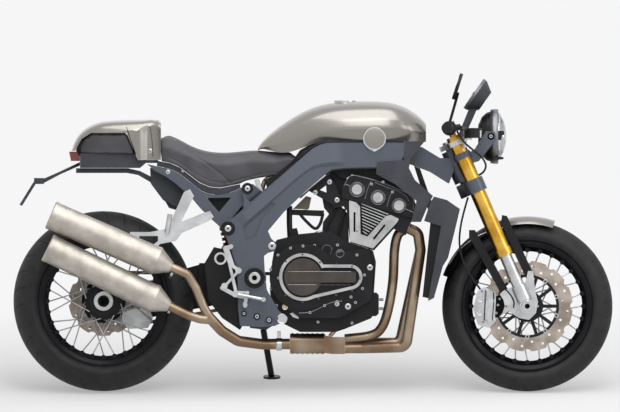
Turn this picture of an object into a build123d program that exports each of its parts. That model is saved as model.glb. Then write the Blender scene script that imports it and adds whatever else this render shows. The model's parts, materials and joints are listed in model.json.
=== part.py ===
from build123d import *

import os
from math import asin, atan2, cos, degrees, pi, radians, sin, sqrt, tan

# A cafe racer motorcycle, parked on its side stand.
#
# Every piece is drawn upright, and the finished pieces are leaned onto the stand together.
# Upright frame: +X forward, +Y to the rider's left, +Z up, zero on the floor under the rear axle.
# The side view is laid out in the pixel coordinates of a square-on view of the right hand side.
# A longer or shorter wheelbase stretches the machine between the engine and the steering head,
# and leaves both ends as they are. Lateral distances are counted outwards from the middle plane,
# with the right hand side positive.

# Driving dimensions
WHEELBASE = 1493
RAKE = 23.5
FORK_OFFSET = 30
LEAN = 10
SEAT_GAP = 0.2
RUNNING_GAP = 0.3
OVERRUN = 2

FRONT_RADIUS = 300
FRONT_WIDTH = 120
REAR_RADIUS = 317
REAR_WIDTH = 200
RIM_FLANGE_RADIUS = 228
BEAD_SEAT_RADIUS = 216
FRONT_RIM_WIDTH = 89
REAR_RIM_WIDTH = 152
FRONT_CROWN_DROP = 44
REAR_CROWN_DROP = 62

# The view's own measures: its wheelbase, both axles, the floor line and where it may stretch
VIEW_WHEELBASE = 1493
STRETCH_PIXELS = (300, 430)
REAR_AXLE_PIXELS = (103.5, 300.4)
FRONT_AXLE_PIXELS = (527.3, 307.7)
FLOOR_PIXELS = 391.3
SCALE = VIEW_WHEELBASE / (FRONT_AXLE_PIXELS[0] - REAR_AXLE_PIXELS[0])


def crown_radius(width, drop):
    """Radius of a tyre's crown arc from its width and the drop from crown to shoulder."""
    return ((width / 2) ** 2 + drop**2) / (2 * drop)


# Leaning rolls each tyre onto the side of its crown, so the fatter one is carried a little higher
CROWN_DIFFERENCE = crown_radius(REAR_WIDTH, REAR_CROWN_DROP) - crown_radius(FRONT_WIDTH, FRONT_CROWN_DROP)
REAR_RISE = CROWN_DIFFERENCE * (1 - cos(radians(LEAN)))

REAR_AXLE = Vector(0, 0, REAR_RADIUS + REAR_RISE)
FRONT_AXLE = Vector(WHEELBASE, 0, FRONT_RADIUS)
UP_THE_FORK = Vector(-sin(radians(RAKE)), 0, cos(radians(RAKE)))
AHEAD_OF_FORK = Vector(cos(radians(RAKE)), 0, sin(radians(RAKE)))
RIGHT = Vector(0, -1, 0)

nodes = {}


def keep(name, part):
    """Label a finished piece and keep it for the export, with what its node holds already."""
    node = nodes[name] + part if name in nodes else part
    node.label = name
    nodes[name] = node


def spot(pixel):
    """A point of the side view in millimetres."""
    start, end = STRETCH_PIXELS
    stretch_share = min(max((pixel[0] - start) / (end - start), 0), 1)
    along = (pixel[0] - REAR_AXLE_PIXELS[0]) * SCALE + (WHEELBASE - VIEW_WHEELBASE) * stretch_share
    return (along, (FLOOR_PIXELS - pixel[1]) * SCALE)


def place(pixel, out):
    """A point in space from its place in the side view and its distance out to the right."""
    x, z = spot(pixel)
    return Vector(x, -out, z)


def side_plane(out):
    """The plane of the side view at a distance out to the right. It extrudes outwards."""
    return Plane(origin=(0, -out, 0), x_dir=(1, 0, 0), z_dir=RIGHT)


def fork_place(up, out=0.0, ahead=0.0):
    """A point up the fork from the front axle, out to the right and ahead of the fork legs."""
    return FRONT_AXLE + UP_THE_FORK * up + AHEAD_OF_FORK * ahead + RIGHT * out


def fork_plane(up):
    """The plane across the fork at a height above the front axle. Its own x runs ahead."""
    return Plane(origin=fork_place(up), x_dir=AHEAD_OF_FORK, z_dir=UP_THE_FORK)


def slab(pixels, inner, outer, corner=0.0, mode=Mode.ADD):
    """A plate cut to a side view outline, from one lateral distance to another."""
    with BuildSketch(side_plane(inner)) as outline:
        with BuildLine():
            Polyline(*[spot(pixel) for pixel in pixels], close=True)
        make_face()
        if corner:
            fillet(outline.vertices(), corner)
    extrude(outline.sketch, amount=outer - inner, mode=mode)


def slab_pair(pixels, inner, outer, corner=0.0, mode=Mode.ADD):
    """The same plate on both sides of the middle plane."""
    slab(pixels, inner, outer, corner, mode)
    slab(pixels, -outer, -inner, corner, mode)


def disc(start, along, radius, length, mode=Mode.ADD):
    """A round bar that starts at a point and runs along a direction."""
    with BuildSketch(Plane(origin=start, z_dir=along)) as face:
        Circle(radius)
    extrude(face.sketch, amount=length, mode=mode)


def bar(start, end, radius, mode=Mode.ADD):
    """A round bar from one point to another."""
    run = end - start
    disc(start, run, radius, run.length, mode)


def link(start, end, radius, inner, outer, mode=Mode.ADD):
    """A flat link with round ends between two points of the side view."""
    with BuildSketch(side_plane(inner)) as outline:
        with Locations(spot(start), spot(end)):
            Circle(radius)
        make_hull()
    extrude(outline.sketch, amount=outer - inner, mode=mode)


def boss(pixel, radius, inner, outer, mode=Mode.ADD):
    """A round boss or hole across the bike, from one lateral distance to another."""
    disc(place(pixel, inner), RIGHT, radius, outer - inner, mode)


def tube(points, bend, radius, mode=Mode.ADD):
    """A round bar along straight runs with arcs between them."""
    with BuildLine() as route:
        FilletPolyline(*points, radius=bend)
    with BuildSketch(Plane(origin=route.line @ 0, z_dir=route.line % 0)) as ring:
        Circle(radius)
    sweep(sections=ring.sketch, path=route.line, mode=mode)


def turned(axle, points):
    """Turn a closed outline of (distance to the left, radius) points about a wheel's axle."""
    with BuildSketch(Plane(origin=axle, x_dir=(0, 1, 0), z_dir=(1, 0, 0))) as outline:
        with BuildLine():
            Polyline(*points, close=True)
        make_face()
    revolve(outline.sketch, axis=Axis(axle, (0, 1, 0)))


def both_ways(half_outline):
    """Close a wheel's half outline with its own mirror image."""
    return half_outline + [(-out, radius) for out, radius in reversed(half_outline)]


# Wheels
BULGE_SHARE = 0.86
FLANGE_WALL = 7
RIM_WALL = 6
WELL_DEPTH = 17
WELL_TAPER = 12
LUG_RADIUS = 8.5
LUG_WIDTH = 15
SPOKE_RADIUS = 2.2
SPOKE_SWEEP = 48
SPOKE_CLEAR = 1.3
HUB_FLANGE_WALL = 9
FRONT_LUGS = 28
REAR_LUGS = 32
WELL_FLOOR_RADIUS = BEAD_SEAT_RADIUS - WELL_DEPTH
LUG_CENTRE_RADIUS = WELL_FLOOR_RADIUS - RIM_WALL + LUG_RADIUS / 2


def tyre(axle, radius, width, drop, rim_width):
    """A road tyre: a round crown from shoulder to shoulder and sidewalls in to the beads."""
    half, bead = width / 2, rim_width / 2 - SEAT_GAP
    shoulder = radius - drop
    flange = RIM_FLANGE_RADIUS + SEAT_GAP
    seat = BEAD_SEAT_RADIUS + SEAT_GAP
    bulge = bead + (half - bead) * BULGE_SHARE
    middle = (flange + shoulder) / 2
    with BuildSketch(Plane(origin=axle, x_dir=(0, 1, 0), z_dir=(1, 0, 0))) as outline:
        with BuildLine():
            Polyline((-bead, flange), (-bead, seat), (bead, seat), (bead, flange))
            ThreePointArc((bead, flange), (bulge, middle), (half, shoulder))
            ThreePointArc((half, shoulder), (0, radius), (-half, shoulder))
            ThreePointArc((-half, shoulder), (-bulge, middle), (-bead, flange))
        make_face()
    revolve(outline.sketch, axis=Axis(axle, (0, 1, 0)))


def rim(axle, width, lugs):
    """A drop centre rim with a ring of spoke lugs along each inner edge."""
    seat = width / 2
    outer, slope, floor_half = seat + FLANGE_WALL, seat - WELL_TAPER, seat - 2 * WELL_TAPER
    turned(
        axle,
        both_ways(
            [
                (floor_half, WELL_FLOOR_RADIUS),
                (slope, BEAD_SEAT_RADIUS),
                (seat, BEAD_SEAT_RADIUS),
                (seat, RIM_FLANGE_RADIUS),
                (outer, RIM_FLANGE_RADIUS),
                (outer, RIM_FLANGE_RADIUS - RIM_WALL),
                (seat, BEAD_SEAT_RADIUS - RIM_WALL),
                (slope + RIM_WALL / 2, BEAD_SEAT_RADIUS - RIM_WALL),
                (floor_half + RIM_WALL / 2, WELL_FLOOR_RADIUS - RIM_WALL),
            ]
        ),
    )
    for hand in (-1, 1):
        start = axle + RIGHT * (hand * (slope - LUG_WIDTH))
        with BuildSketch(Plane(origin=start, x_dir=(1, 0, 0), z_dir=RIGHT * hand)) as ring:
            with PolarLocations(LUG_CENTRE_RADIUS, lugs):
                Circle(LUG_RADIUS)
        extrude(ring.sketch, amount=LUG_WIDTH)


def spokes(axle, rim_width, lugs, flange_radius, flange_out):
    """Crossed spokes, every other one to the other side, each from its lug to the hub flange."""
    rim_at = LUG_CENTRE_RADIUS - LUG_RADIUS - SPOKE_CLEAR / 2
    rim_out = rim_width / 2 - WELL_TAPER - LUG_WIDTH / 2
    made = []
    for k in range(lugs):
        hand = 1 if k % 2 else -1
        lead = 1 if (k // 2) % 2 else -1
        rim_angle = 2 * pi * k / lugs
        hub_angle = rim_angle + lead * radians(SPOKE_SWEEP)
        hub_out = flange_out + lead * (HUB_FLANGE_WALL / 2 + SPOKE_RADIUS + SPOKE_CLEAR)
        start = axle + Vector(flange_radius * cos(hub_angle), -hand * hub_out, flange_radius * sin(hub_angle))
        end = axle + Vector(rim_at * cos(rim_angle), -hand * rim_out, rim_at * sin(rim_angle))
        run = end - start
        made.append(Solid.make_cylinder(SPOKE_RADIUS, run.length, Plane(origin=start, z_dir=run)))
    return made


def wave_disc(axle, out, outer, inner, waves):
    """A brake disc ring with a scalloped edge and two rows of drilled holes."""
    with BuildSketch(Plane(origin=axle + RIGHT * out, x_dir=(1, 0, 0), z_dir=RIGHT)) as ring:
        Circle(outer)
        with PolarLocations(outer + DISC_NOTCH_RADIUS / 2, waves):
            Circle(DISC_NOTCH_RADIUS, mode=Mode.SUBTRACT)
        Circle(inner, mode=Mode.SUBTRACT)
        for row, share in enumerate(DISC_ROW_SHARES):
            turn = 180 / waves * (row + 0.5)
            with PolarLocations(inner + (outer - inner) * share, waves, start_angle=turn):
                Circle(DISC_HOLE_RADIUS, mode=Mode.SUBTRACT)
    extrude(ring.sketch, amount=DISC_WALL)


def sprocket(centre, teeth, hole, windows=0):
    """A chain wheel with pointed teeth, standing on its edge."""
    pitch_radius = CHAIN_PITCH / (2 * sin(pi / teeth))
    radius = pitch_radius + TOOTH_HEIGHT / 2
    points = []
    for k in range(teeth):
        for turn_share, height_share in TOOTH_SHARES:
            angle = (k + turn_share) * 2 * pi / teeth
            reach = radius + height_share * TOOTH_HEIGHT
            points.append((reach * cos(angle), reach * sin(angle)))
    with BuildSketch(Plane(origin=centre, x_dir=(1, 0, 0), z_dir=(0, 1, 0))) as outline:
        with BuildLine():
            Polyline(*points, close=True)
        make_face()
        Circle(hole, mode=Mode.SUBTRACT)
        if windows:
            web = radius - TOOTH_HEIGHT - hole
            with PolarLocations(hole + web / 2, windows):
                Circle(web * WINDOW_SHARE / 2, mode=Mode.SUBTRACT)
    extrude(outline.sketch, amount=SPROCKET_WALL)


with BuildPart() as front_tyre:
    tyre(FRONT_AXLE, FRONT_RADIUS, FRONT_WIDTH, FRONT_CROWN_DROP, FRONT_RIM_WIDTH)
keep("front_tyre", front_tyre.part)

with BuildPart() as rear_tyre:
    tyre(REAR_AXLE, REAR_RADIUS, REAR_WIDTH, REAR_CROWN_DROP, REAR_RIM_WIDTH)
keep("rear_tyre", rear_tyre.part)

with BuildPart() as front_rim:
    rim(FRONT_AXLE, FRONT_RIM_WIDTH, FRONT_LUGS)
keep("front_rim", front_rim.part)

with BuildPart() as rear_rim:
    rim(REAR_AXLE, REAR_RIM_WIDTH, REAR_LUGS)
keep("rear_rim", rear_rim.part)

# Front hub: a spool with two spoke flanges and a disc carrier bolted to each end
AXLE_RADIUS = 12.5
AXLE_BORE = 9
FRONT_SPOOL_RADIUS = 28
FRONT_HUB_HALF = 66
FRONT_FLANGE_RADIUS = 50
FRONT_FLANGE_OUT = 34
FRONT_CAP_RADIUS = 42
CARRIER_OUT = 60
CARRIER_WALL = 6
CARRIER_HUB_RADIUS = 56
CARRIER_ARMS = 10
CARRIER_ARM_WIDTH = 12
CARRIER_RING_WIDTH = 10
DISC_OUTER = 160
DISC_INNER = 112
DISC_WALL = 5
DISC_WAVES = 12
DISC_NOTCH_RADIUS = 17
DISC_HOLE_RADIUS = 4.5
DISC_ROW_SHARES = (0.3, 0.62)

front_spoke_bars = spokes(
    FRONT_AXLE, FRONT_RIM_WIDTH, FRONT_LUGS, FRONT_FLANGE_RADIUS - 2 * SPOKE_RADIUS, FRONT_FLANGE_OUT
)
with BuildPart() as front_spokes:
    add(front_spoke_bars)
keep("front_spokes", front_spokes.part)

with BuildPart() as front_hub:
    flange_inner = FRONT_FLANGE_OUT - HUB_FLANGE_WALL / 2
    flange_outer = FRONT_FLANGE_OUT + HUB_FLANGE_WALL / 2
    bore_radius = AXLE_RADIUS + RUNNING_GAP
    turned(
        FRONT_AXLE,
        both_ways(
            [
                (FRONT_HUB_HALF, bore_radius),
                (FRONT_HUB_HALF, FRONT_CAP_RADIUS),
                (CARRIER_OUT, FRONT_CAP_RADIUS),
                (flange_outer, FRONT_SPOOL_RADIUS),
                (flange_outer, FRONT_FLANGE_RADIUS),
                (flange_inner, FRONT_FLANGE_RADIUS),
                (flange_inner, FRONT_SPOOL_RADIUS),
            ]
        ),
    )
    ring_inner = DISC_INNER - CARRIER_RING_WIDTH
    for start in (CARRIER_OUT, -CARRIER_OUT - CARRIER_WALL):
        with BuildSketch(Plane(origin=FRONT_AXLE + RIGHT * start, x_dir=(1, 0, 0), z_dir=RIGHT)) as carrier:
            Circle(DISC_INNER - SEAT_GAP)
            Circle(ring_inner, mode=Mode.SUBTRACT)
            with PolarLocations((FRONT_CAP_RADIUS + ring_inner) / 2, CARRIER_ARMS):
                Rectangle(ring_inner - FRONT_CAP_RADIUS + CARRIER_RING_WIDTH, CARRIER_ARM_WIDTH)
            Circle(CARRIER_HUB_RADIUS)
            Circle(FRONT_CAP_RADIUS, mode=Mode.SUBTRACT)
        extrude(carrier.sketch, amount=CARRIER_WALL)
keep("front_hub", front_hub.part)

with BuildPart() as front_discs:
    wave_disc(FRONT_AXLE, CARRIER_OUT, DISC_OUTER, DISC_INNER, DISC_WAVES)
    wave_disc(FRONT_AXLE, -CARRIER_OUT - DISC_WALL, DISC_OUTER, DISC_INNER, DISC_WAVES)
keep("front_discs", front_discs.part)

# Rear hub: a hollow spindle through the single arm, held by one big nut on the right
REAR_BORE = 12
SPINDLE_RADIUS = 30
REAR_NUT_RADIUS = 34
REAR_NUT_OUT = 88
REAR_BOSS_RADIUS = 52
REAR_BOSS_OUT = 74
REAR_SPOOL_RADIUS = 42
REAR_FLANGE_OUT = 54
REAR_FLANGE_RADIUS = 66
ARM_INNER = 112
ARM_OUTER = 144
SPROCKET_OUT = 168
SPROCKET_WALL = 7
SPROCKET_BORE = 62
SPROCKET_TEETH = 40
FRONT_SPROCKET_TEETH = 17
CHAIN_PITCH = 15.875
TOOTH_HEIGHT = 5
TOOTH_SHARES = ((0.0, -1.0), (0.3, -1.0), (0.42, 0.0), (0.58, 0.0), (0.7, -1.0))
WINDOW_SHARE = 0.72
SPROCKET_WINDOWS = 12
SPINDLE_END = 186
REAR_DISC_OUT = 86
REAR_DISC_OUTER = 123
REAR_DISC_INNER = 78
REAR_DISC_WAVES = 10
SPROCKET_NUT_RADIUS = 44

rear_spoke_bars = spokes(
    REAR_AXLE, REAR_RIM_WIDTH, REAR_LUGS, REAR_FLANGE_RADIUS - 2 * SPOKE_RADIUS, REAR_FLANGE_OUT
)
with BuildPart() as rear_spokes:
    add(rear_spoke_bars)
keep("rear_spokes", rear_spokes.part)

with BuildPart() as rear_hub:
    flange_inner = REAR_FLANGE_OUT - HUB_FLANGE_WALL / 2
    flange_outer = REAR_FLANGE_OUT + HUB_FLANGE_WALL / 2
    disc_face = REAR_DISC_OUT + DISC_WALL
    sprocket_face = SPROCKET_OUT + SPROCKET_WALL
    turned(
        REAR_AXLE,
        [
            (-REAR_NUT_OUT, REAR_BORE),
            (-REAR_NUT_OUT, REAR_NUT_RADIUS),
            (-REAR_BOSS_OUT, REAR_NUT_RADIUS),
            (-REAR_BOSS_OUT, REAR_BOSS_RADIUS),
            (-flange_outer, REAR_BOSS_RADIUS),
            (-flange_outer, REAR_FLANGE_RADIUS),
            (-flange_inner, REAR_FLANGE_RADIUS),
            (-flange_inner, REAR_SPOOL_RADIUS),
            (flange_inner, REAR_SPOOL_RADIUS),
            (flange_inner, REAR_FLANGE_RADIUS),
            (flange_outer, REAR_FLANGE_RADIUS),
            (flange_outer, REAR_BOSS_RADIUS),
            (REAR_DISC_OUT, REAR_BOSS_RADIUS),
            (REAR_DISC_OUT, REAR_DISC_INNER - SEAT_GAP),
            (disc_face, REAR_DISC_INNER - SEAT_GAP),
            (disc_face, SPINDLE_RADIUS),
            (SPROCKET_OUT, SPINDLE_RADIUS),
            (SPROCKET_OUT, SPROCKET_BORE - SEAT_GAP),
            (sprocket_face, SPROCKET_BORE - SEAT_GAP),
            (sprocket_face, SPROCKET_NUT_RADIUS),
            (SPINDLE_END, SPROCKET_NUT_RADIUS),
            (SPINDLE_END, REAR_BORE),
        ],
    )
keep("rear_hub", rear_hub.part)

with BuildPart() as rear_disc:
    wave_disc(REAR_AXLE, -REAR_DISC_OUT - DISC_WALL, REAR_DISC_OUTER, REAR_DISC_INNER, REAR_DISC_WAVES)
keep("rear_disc", rear_disc.part)

with BuildPart() as rear_sprocket:
    sprocket(REAR_AXLE - RIGHT * SPROCKET_OUT, SPROCKET_TEETH, SPROCKET_BORE, SPROCKET_WINDOWS)
keep("rear_sprocket", rear_sprocket.part)

# Frame: two plates outside the engine, joined by the steering head and three cross members
CASE_HALF = 108
CASE_CLEAR = 4
SPAR_WALL = 34
SPAR_INNER = CASE_HALF + CASE_CLEAR
SPAR_OUTER = SPAR_INNER + SPAR_WALL
SPAR_CORNER = 4
SPAR_PIXELS = (
    (408, 142), (386, 142), (380, 149), (374.5, 151.5), (369, 149), (363, 142), (330, 142),
    (320, 144.5), (310, 150), (300, 158.5), (280, 176), (262, 191.5), (253, 184), (245, 184.5),
    (242, 191), (244, 200), (243, 209), (233, 218), (224, 222), (222, 230), (226, 237), (231, 250),
    (237, 268), (238, 290), (238, 307), (240, 326), (262, 327), (275, 326), (289, 318.5), (279, 311),
    (267, 290), (265, 275), (264, 256), (268, 253), (275, 251), (277, 245), (271, 238), (268, 231),
    (284, 212), (306, 191), (329, 171.5), (345, 168), (390, 167.5), (398, 165), (405, 158), (408, 150),
)
SPAR_POCKET_PIXELS = ((252, 214), (268, 201), (276, 204), (262, 220), (256, 236), (246, 240), (243, 226))
POCKET_DEPTH = 8
PIVOT_PIXELS = (254.5, 278)
PIVOT_RADIUS = 12
PIVOT_BOSS_RADIUS = 42
PIVOT_BOSS_RISE = 6
PIVOT_BOSS_OUT = SPAR_OUTER + PIVOT_BOSS_RISE
ENGINE_BOLTS_PIXELS = ((272, 245.5), (276, 318.5))
FOOT_BOLTS_PIXELS = ((244, 314), (257, 317), (267, 320))
BOLT_RADIUS = 8
BOLT_HEAD = 4
BEVEL_RUN = 32
BEVEL_DEPTH = 13
BEVELS_PIXELS = (((250, 201.875), (315, 145.67)), ((318, 142), (412, 142)))


def bevel(start, end):
    """Slope the outer face of a plate away towards an upper edge from one point to another."""
    run = place(end, SPAR_OUTER) - place(start, SPAR_OUTER)
    past = BEVEL_DEPTH * (BEVEL_RUN + OVERRUN) / BEVEL_RUN
    with BuildSketch(Plane(origin=place(start, SPAR_OUTER), x_dir=RIGHT, z_dir=run)) as wedge:
        with BuildLine():
            Polyline((0, -BEVEL_RUN), (-past, OVERRUN), (OVERRUN, OVERRUN), (OVERRUN, -BEVEL_RUN), close=True)
        make_face()
    extrude(wedge.sketch, amount=run.length, mode=Mode.SUBTRACT)


with BuildPart() as frame_spar_right:
    slab(SPAR_PIXELS, SPAR_INNER, SPAR_OUTER, SPAR_CORNER)
    slab(SPAR_POCKET_PIXELS, SPAR_OUTER - POCKET_DEPTH, SPAR_OUTER + OVERRUN, SPAR_CORNER, Mode.SUBTRACT)
    for start, end in BEVELS_PIXELS:
        bevel(start, end)
    boss(PIVOT_PIXELS, PIVOT_BOSS_RADIUS, SPAR_OUTER, PIVOT_BOSS_OUT)
    for pixel in ENGINE_BOLTS_PIXELS + FOOT_BOLTS_PIXELS:
        boss(pixel, BOLT_RADIUS, SPAR_OUTER, SPAR_OUTER + BOLT_HEAD)
    boss(PIVOT_PIXELS, PIVOT_RADIUS + SEAT_GAP, SPAR_INNER - OVERRUN, PIVOT_BOSS_OUT + OVERRUN, Mode.SUBTRACT)
keep("frame_spar_right", frame_spar_right.part)

with BuildPart() as frame_spar_left:
    mirror(frame_spar_right.part, about=Plane.XZ)
keep("frame_spar_left", frame_spar_left.part)

BRIDGE_HALF = SPAR_INNER - SEAT_GAP
HEAD_HALF = 34
HEAD_RADIUS = 33
HEAD_LOW = 492
HEAD_HIGH = 612
STEM_RADIUS = 15
BRIDGE_PIXELS = ((388, 147), (410, 147), (410, 162), (388, 162))
NECK_PIXELS = ((404, 147), (422, 147), (440, 158), (452, 158), (454, 170), (449, 184), (430, 172), (404, 162))
UPPER_MEMBER_PIXELS = ((262, 207), (276, 195), (284, 203), (269, 219))
SHOCK_LUG_PIXELS = ((268, 199), (271, 212), (228, 211), (216, 208), (216, 199), (228, 195))
SHOCK_LUG_HALF = 24
SHOCK_EYE_HALF = 16
SHOCK_SLOT_PIXELS = ((212, 194), (240, 194), (240, 214), (212, 214))
SHOCK_TOP_PIXELS = (222, 203)
SHOCK_PIN_RADIUS = 6
LOWER_MEMBER_PIXELS = ((246, 311), (266, 311), (266, 322), (246, 322))

with BuildPart() as frame_bridge:
    slab(BRIDGE_PIXELS, -BRIDGE_HALF, BRIDGE_HALF, SPAR_CORNER)
    slab(NECK_PIXELS, -HEAD_HALF, HEAD_HALF, SPAR_CORNER)
    disc(fork_place(HEAD_LOW, 0, -FORK_OFFSET), UP_THE_FORK, HEAD_RADIUS, HEAD_HIGH - HEAD_LOW)
    disc(
        fork_place(HEAD_LOW - OVERRUN, 0, -FORK_OFFSET),
        UP_THE_FORK,
        STEM_RADIUS + RUNNING_GAP,
        HEAD_HIGH - HEAD_LOW + 2 * OVERRUN,
        Mode.SUBTRACT,
    )
keep("frame_members", frame_bridge.part)

with BuildPart() as frame_members:
    slab(UPPER_MEMBER_PIXELS, -BRIDGE_HALF, BRIDGE_HALF, SPAR_CORNER)
    slab(SHOCK_LUG_PIXELS, -SHOCK_LUG_HALF, SHOCK_LUG_HALF)
    slab(SHOCK_SLOT_PIXELS, -SHOCK_EYE_HALF, SHOCK_EYE_HALF, 0, Mode.SUBTRACT)
    boss(SHOCK_TOP_PIXELS, SHOCK_PIN_RADIUS + SEAT_GAP, -SPAR_INNER, SPAR_INNER, Mode.SUBTRACT)
    slab(LOWER_MEMBER_PIXELS, -BRIDGE_HALF, BRIDGE_HALF, SPAR_CORNER)
keep("frame_members", frame_members.part)

# Subframe: two plates under the seat with cross bars between them
SUBFRAME_WALL = 20
SUBFRAME_INNER = SPAR_INNER - SUBFRAME_WALL
SUBFRAME_OUTER = SPAR_INNER - SEAT_GAP
SUBFRAME_PIXELS = (
    (147, 164), (160, 167), (170, 169), (180, 174), (190, 182), (200, 190), (207, 193.5), (216, 195),
    (225, 194), (235, 191), (247, 184.5), (256, 190), (252, 198), (240, 208), (233, 217), (231, 234),
    (224, 235), (219, 226), (210, 218), (200, 208), (190, 196), (175, 183), (165, 176), (155, 171),
)
SUBFRAME_WINDOW_PIXELS = ((207, 198), (231, 197.5), (219, 212))
SUBFRAME_BOLTS_PIXELS = ((247.5, 190), (227.5, 228.5), (168, 173))
SUBFRAME_BAR_RADIUS = 9
SUBFRAME_BARS_PIXELS = ((162, 170), (199, 198))

with BuildPart() as subframe:
    slab_pair(SUBFRAME_PIXELS, SUBFRAME_INNER, SUBFRAME_OUTER)
    slab_pair(SUBFRAME_WINDOW_PIXELS, SUBFRAME_INNER - OVERRUN, SUBFRAME_OUTER + OVERRUN, 0, Mode.SUBTRACT)
    for pixel in SUBFRAME_BARS_PIXELS:
        boss(pixel, SUBFRAME_BAR_RADIUS, -SUBFRAME_INNER - OVERRUN, SUBFRAME_INNER + OVERRUN)
keep("subframe", subframe.part)

# Engine: a plain block at its real place, with the parts that show around it
CASE_CORNER = 10
CASE_PIXELS = (
    (272, 262), (276, 240), (300, 234), (330, 231), (349, 242.26), (373, 250.26), (376, 262), (374, 292),
    (372, 318), (345, 329), (336, 332), (300, 332), (284, 324), (272, 324), (271, 308), (270, 290),
)
CASE_LUG_RADIUS = 17
COVER_DEPTH = 42
COVER_OUT = CASE_HALF + COVER_DEPTH
COVER_RADIUS = 118
COVER_PIXELS = (303, 277)
COVER_RIM_RISE = 14
RIM_OUT = COVER_OUT + COVER_RIM_RISE
COVER_RIM_RADIUS = 84
COVER_NOSE_PIXELS = (350, 277)
COVER_NOSE_RADIUS = 44
COVER_RIM_WALL = 11
COVER_BRIDGES = (((325, 277), COVER_NOSE_RADIUS), ((303, 289), COVER_RIM_RADIUS / 2 - OVERRUN))
INSERT_RADIUS = 66
INSERT_BAR_PIXELS = ((290, 271.5), (356, 271.5), (356, 282.5), (290, 282.5))
INSERT_BAR_RISE = 4
COVER_FOOT_PIXELS = ((276, 262), (368, 248), (373, 270), (371, 300), (340, 318), (300, 318), (282, 305))
COVER_BOLT_ANGLES = (35, 70, 105, 140, 175, 210, 245, 280, 315)
COVER_BOLT_RING = 108
COVER_BOLT_RADIUS = 6

with BuildPart() as crankcase:
    slab(CASE_PIXELS, -CASE_HALF, CASE_HALF, CASE_CORNER)
    for pixel in ENGINE_BOLTS_PIXELS:
        boss(pixel, CASE_LUG_RADIUS, -BRIDGE_HALF, BRIDGE_HALF)
keep("crankcase", crankcase.part)


def waisted_rim(inset, mode=Mode.ADD):
    """Add the rim of the clutch cover to a sketch: a big round, a nose and bridges between them."""
    with Locations(spot(COVER_PIXELS)):
        Circle(COVER_RIM_RADIUS - inset, mode=mode)
    for pixel, radius in COVER_BRIDGES:
        with BuildSketch(mode=Mode.PRIVATE) as bridge:
            with Locations(spot(pixel)):
                Circle(radius - inset)
            with Locations(spot(COVER_NOSE_PIXELS)):
                Circle(COVER_NOSE_RADIUS - inset)
            make_hull()
        add(bridge.sketch, mode=mode)


with BuildPart() as clutch_cover:
    slab(COVER_FOOT_PIXELS, CASE_HALF + SEAT_GAP, COVER_OUT - BOLT_HEAD, CASE_CORNER)
    boss(COVER_PIXELS, COVER_RADIUS, CASE_HALF + SEAT_GAP, COVER_OUT)
    with BuildSketch(side_plane(COVER_OUT)) as bolt_ring:
        with Locations(spot(COVER_PIXELS)):
            for angle in COVER_BOLT_ANGLES:
                with Locations((COVER_BOLT_RING * cos(radians(angle)), COVER_BOLT_RING * sin(radians(angle)))):
                    Circle(COVER_BOLT_RADIUS)
    extrude(bolt_ring.sketch, amount=BOLT_HEAD)
keep("clutch_cover", clutch_cover.part)

with BuildPart() as clutch_rim:
    with BuildSketch(side_plane(COVER_OUT + SEAT_GAP)) as rim_outline:
        waisted_rim(0)
        waisted_rim(COVER_RIM_WALL, Mode.SUBTRACT)
    extrude(rim_outline.sketch, amount=RIM_OUT - COVER_OUT - SEAT_GAP)
keep("engine_trims", clutch_rim.part)

with BuildPart() as clutch_insert:
    boss(COVER_PIXELS, INSERT_RADIUS, COVER_OUT + SEAT_GAP, RIM_OUT)
    slab(INSERT_BAR_PIXELS, COVER_OUT + SEAT_GAP, RIM_OUT + INSERT_BAR_RISE, INSERT_BAR_RISE)
keep("clutch_insert", clutch_insert.part)

GENERATOR_PIXELS = (338, 282)
GENERATOR_RADIUS = 92
GENERATOR_OUT = CASE_HALF + COVER_DEPTH
GENERATOR_STEP_RADIUS = 70
GENERATOR_STEP = 18
GENERATOR_STEP_OUT = GENERATOR_OUT + GENERATOR_STEP
OUTPUT_PIXELS = (283, 286)
OUTPUT_SHAFT_RADIUS = 14
OUTPUT_HOUSING_RADIUS = 34
OUTPUT_HOUSING_CLEAR = 12
OUTPUT_HOUSING_OUT = SPROCKET_OUT - OUTPUT_HOUSING_CLEAR

with BuildPart() as generator_cover:
    boss(GENERATOR_PIXELS, GENERATOR_RADIUS, -GENERATOR_OUT, -CASE_HALF - SEAT_GAP)
    boss(GENERATOR_PIXELS, GENERATOR_STEP_RADIUS, -GENERATOR_STEP_OUT, -GENERATOR_OUT)
keep("generator_cover", generator_cover.part)

with BuildPart() as output_housing:
    boss(OUTPUT_PIXELS, OUTPUT_HOUSING_RADIUS, -OUTPUT_HOUSING_OUT, -CASE_HALF - SEAT_GAP)
    boss(OUTPUT_PIXELS, OUTPUT_SHAFT_RADIUS, -SPROCKET_OUT - SPROCKET_WALL, -OUTPUT_HOUSING_OUT)
    sprocket_centre = place(OUTPUT_PIXELS, -SPROCKET_OUT)
    sprocket(sprocket_centre, FRONT_SPROCKET_TEETH, OUTPUT_SHAFT_RADIUS - OVERRUN)
keep("generator_cover", output_housing.part)

# Cylinder block and head, leaning forward, with fins across the front of the barrels
HEAD_CLEAR = 6
HEAD_SIDE_HALF = SPAR_INNER - HEAD_CLEAR
BARREL_HALF = HEAD_SIDE_HALF - 2 * CASE_CLEAR
HEAD_JOINT_PIXELS = ((341.5, 197.5), (413.5, 218.5))
HEAD_PIXELS = HEAD_JOINT_PIXELS + ((411.5, 221.5), (405.5, 235.5), (394, 229), (345, 209), (342, 203))
HEAD_LUG_PIXELS = ((331, 196), (340.8, 194.2), (340.8, 199), (346, 206), (334, 208))
BARREL_PIXELS = ((346, 205), (400, 222), (374, 250.5), (350, 242.5))
FIN_TOP_PIXELS = ((361.5, 204), (387, 214))
FIN_BASE_PIXELS = ((362, 231), (369, 235))
FIN_COUNT = 9
FIN_WALL = 3.5
FIN_HALF = HEAD_SIDE_HALF + CASE_CLEAR

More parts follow.
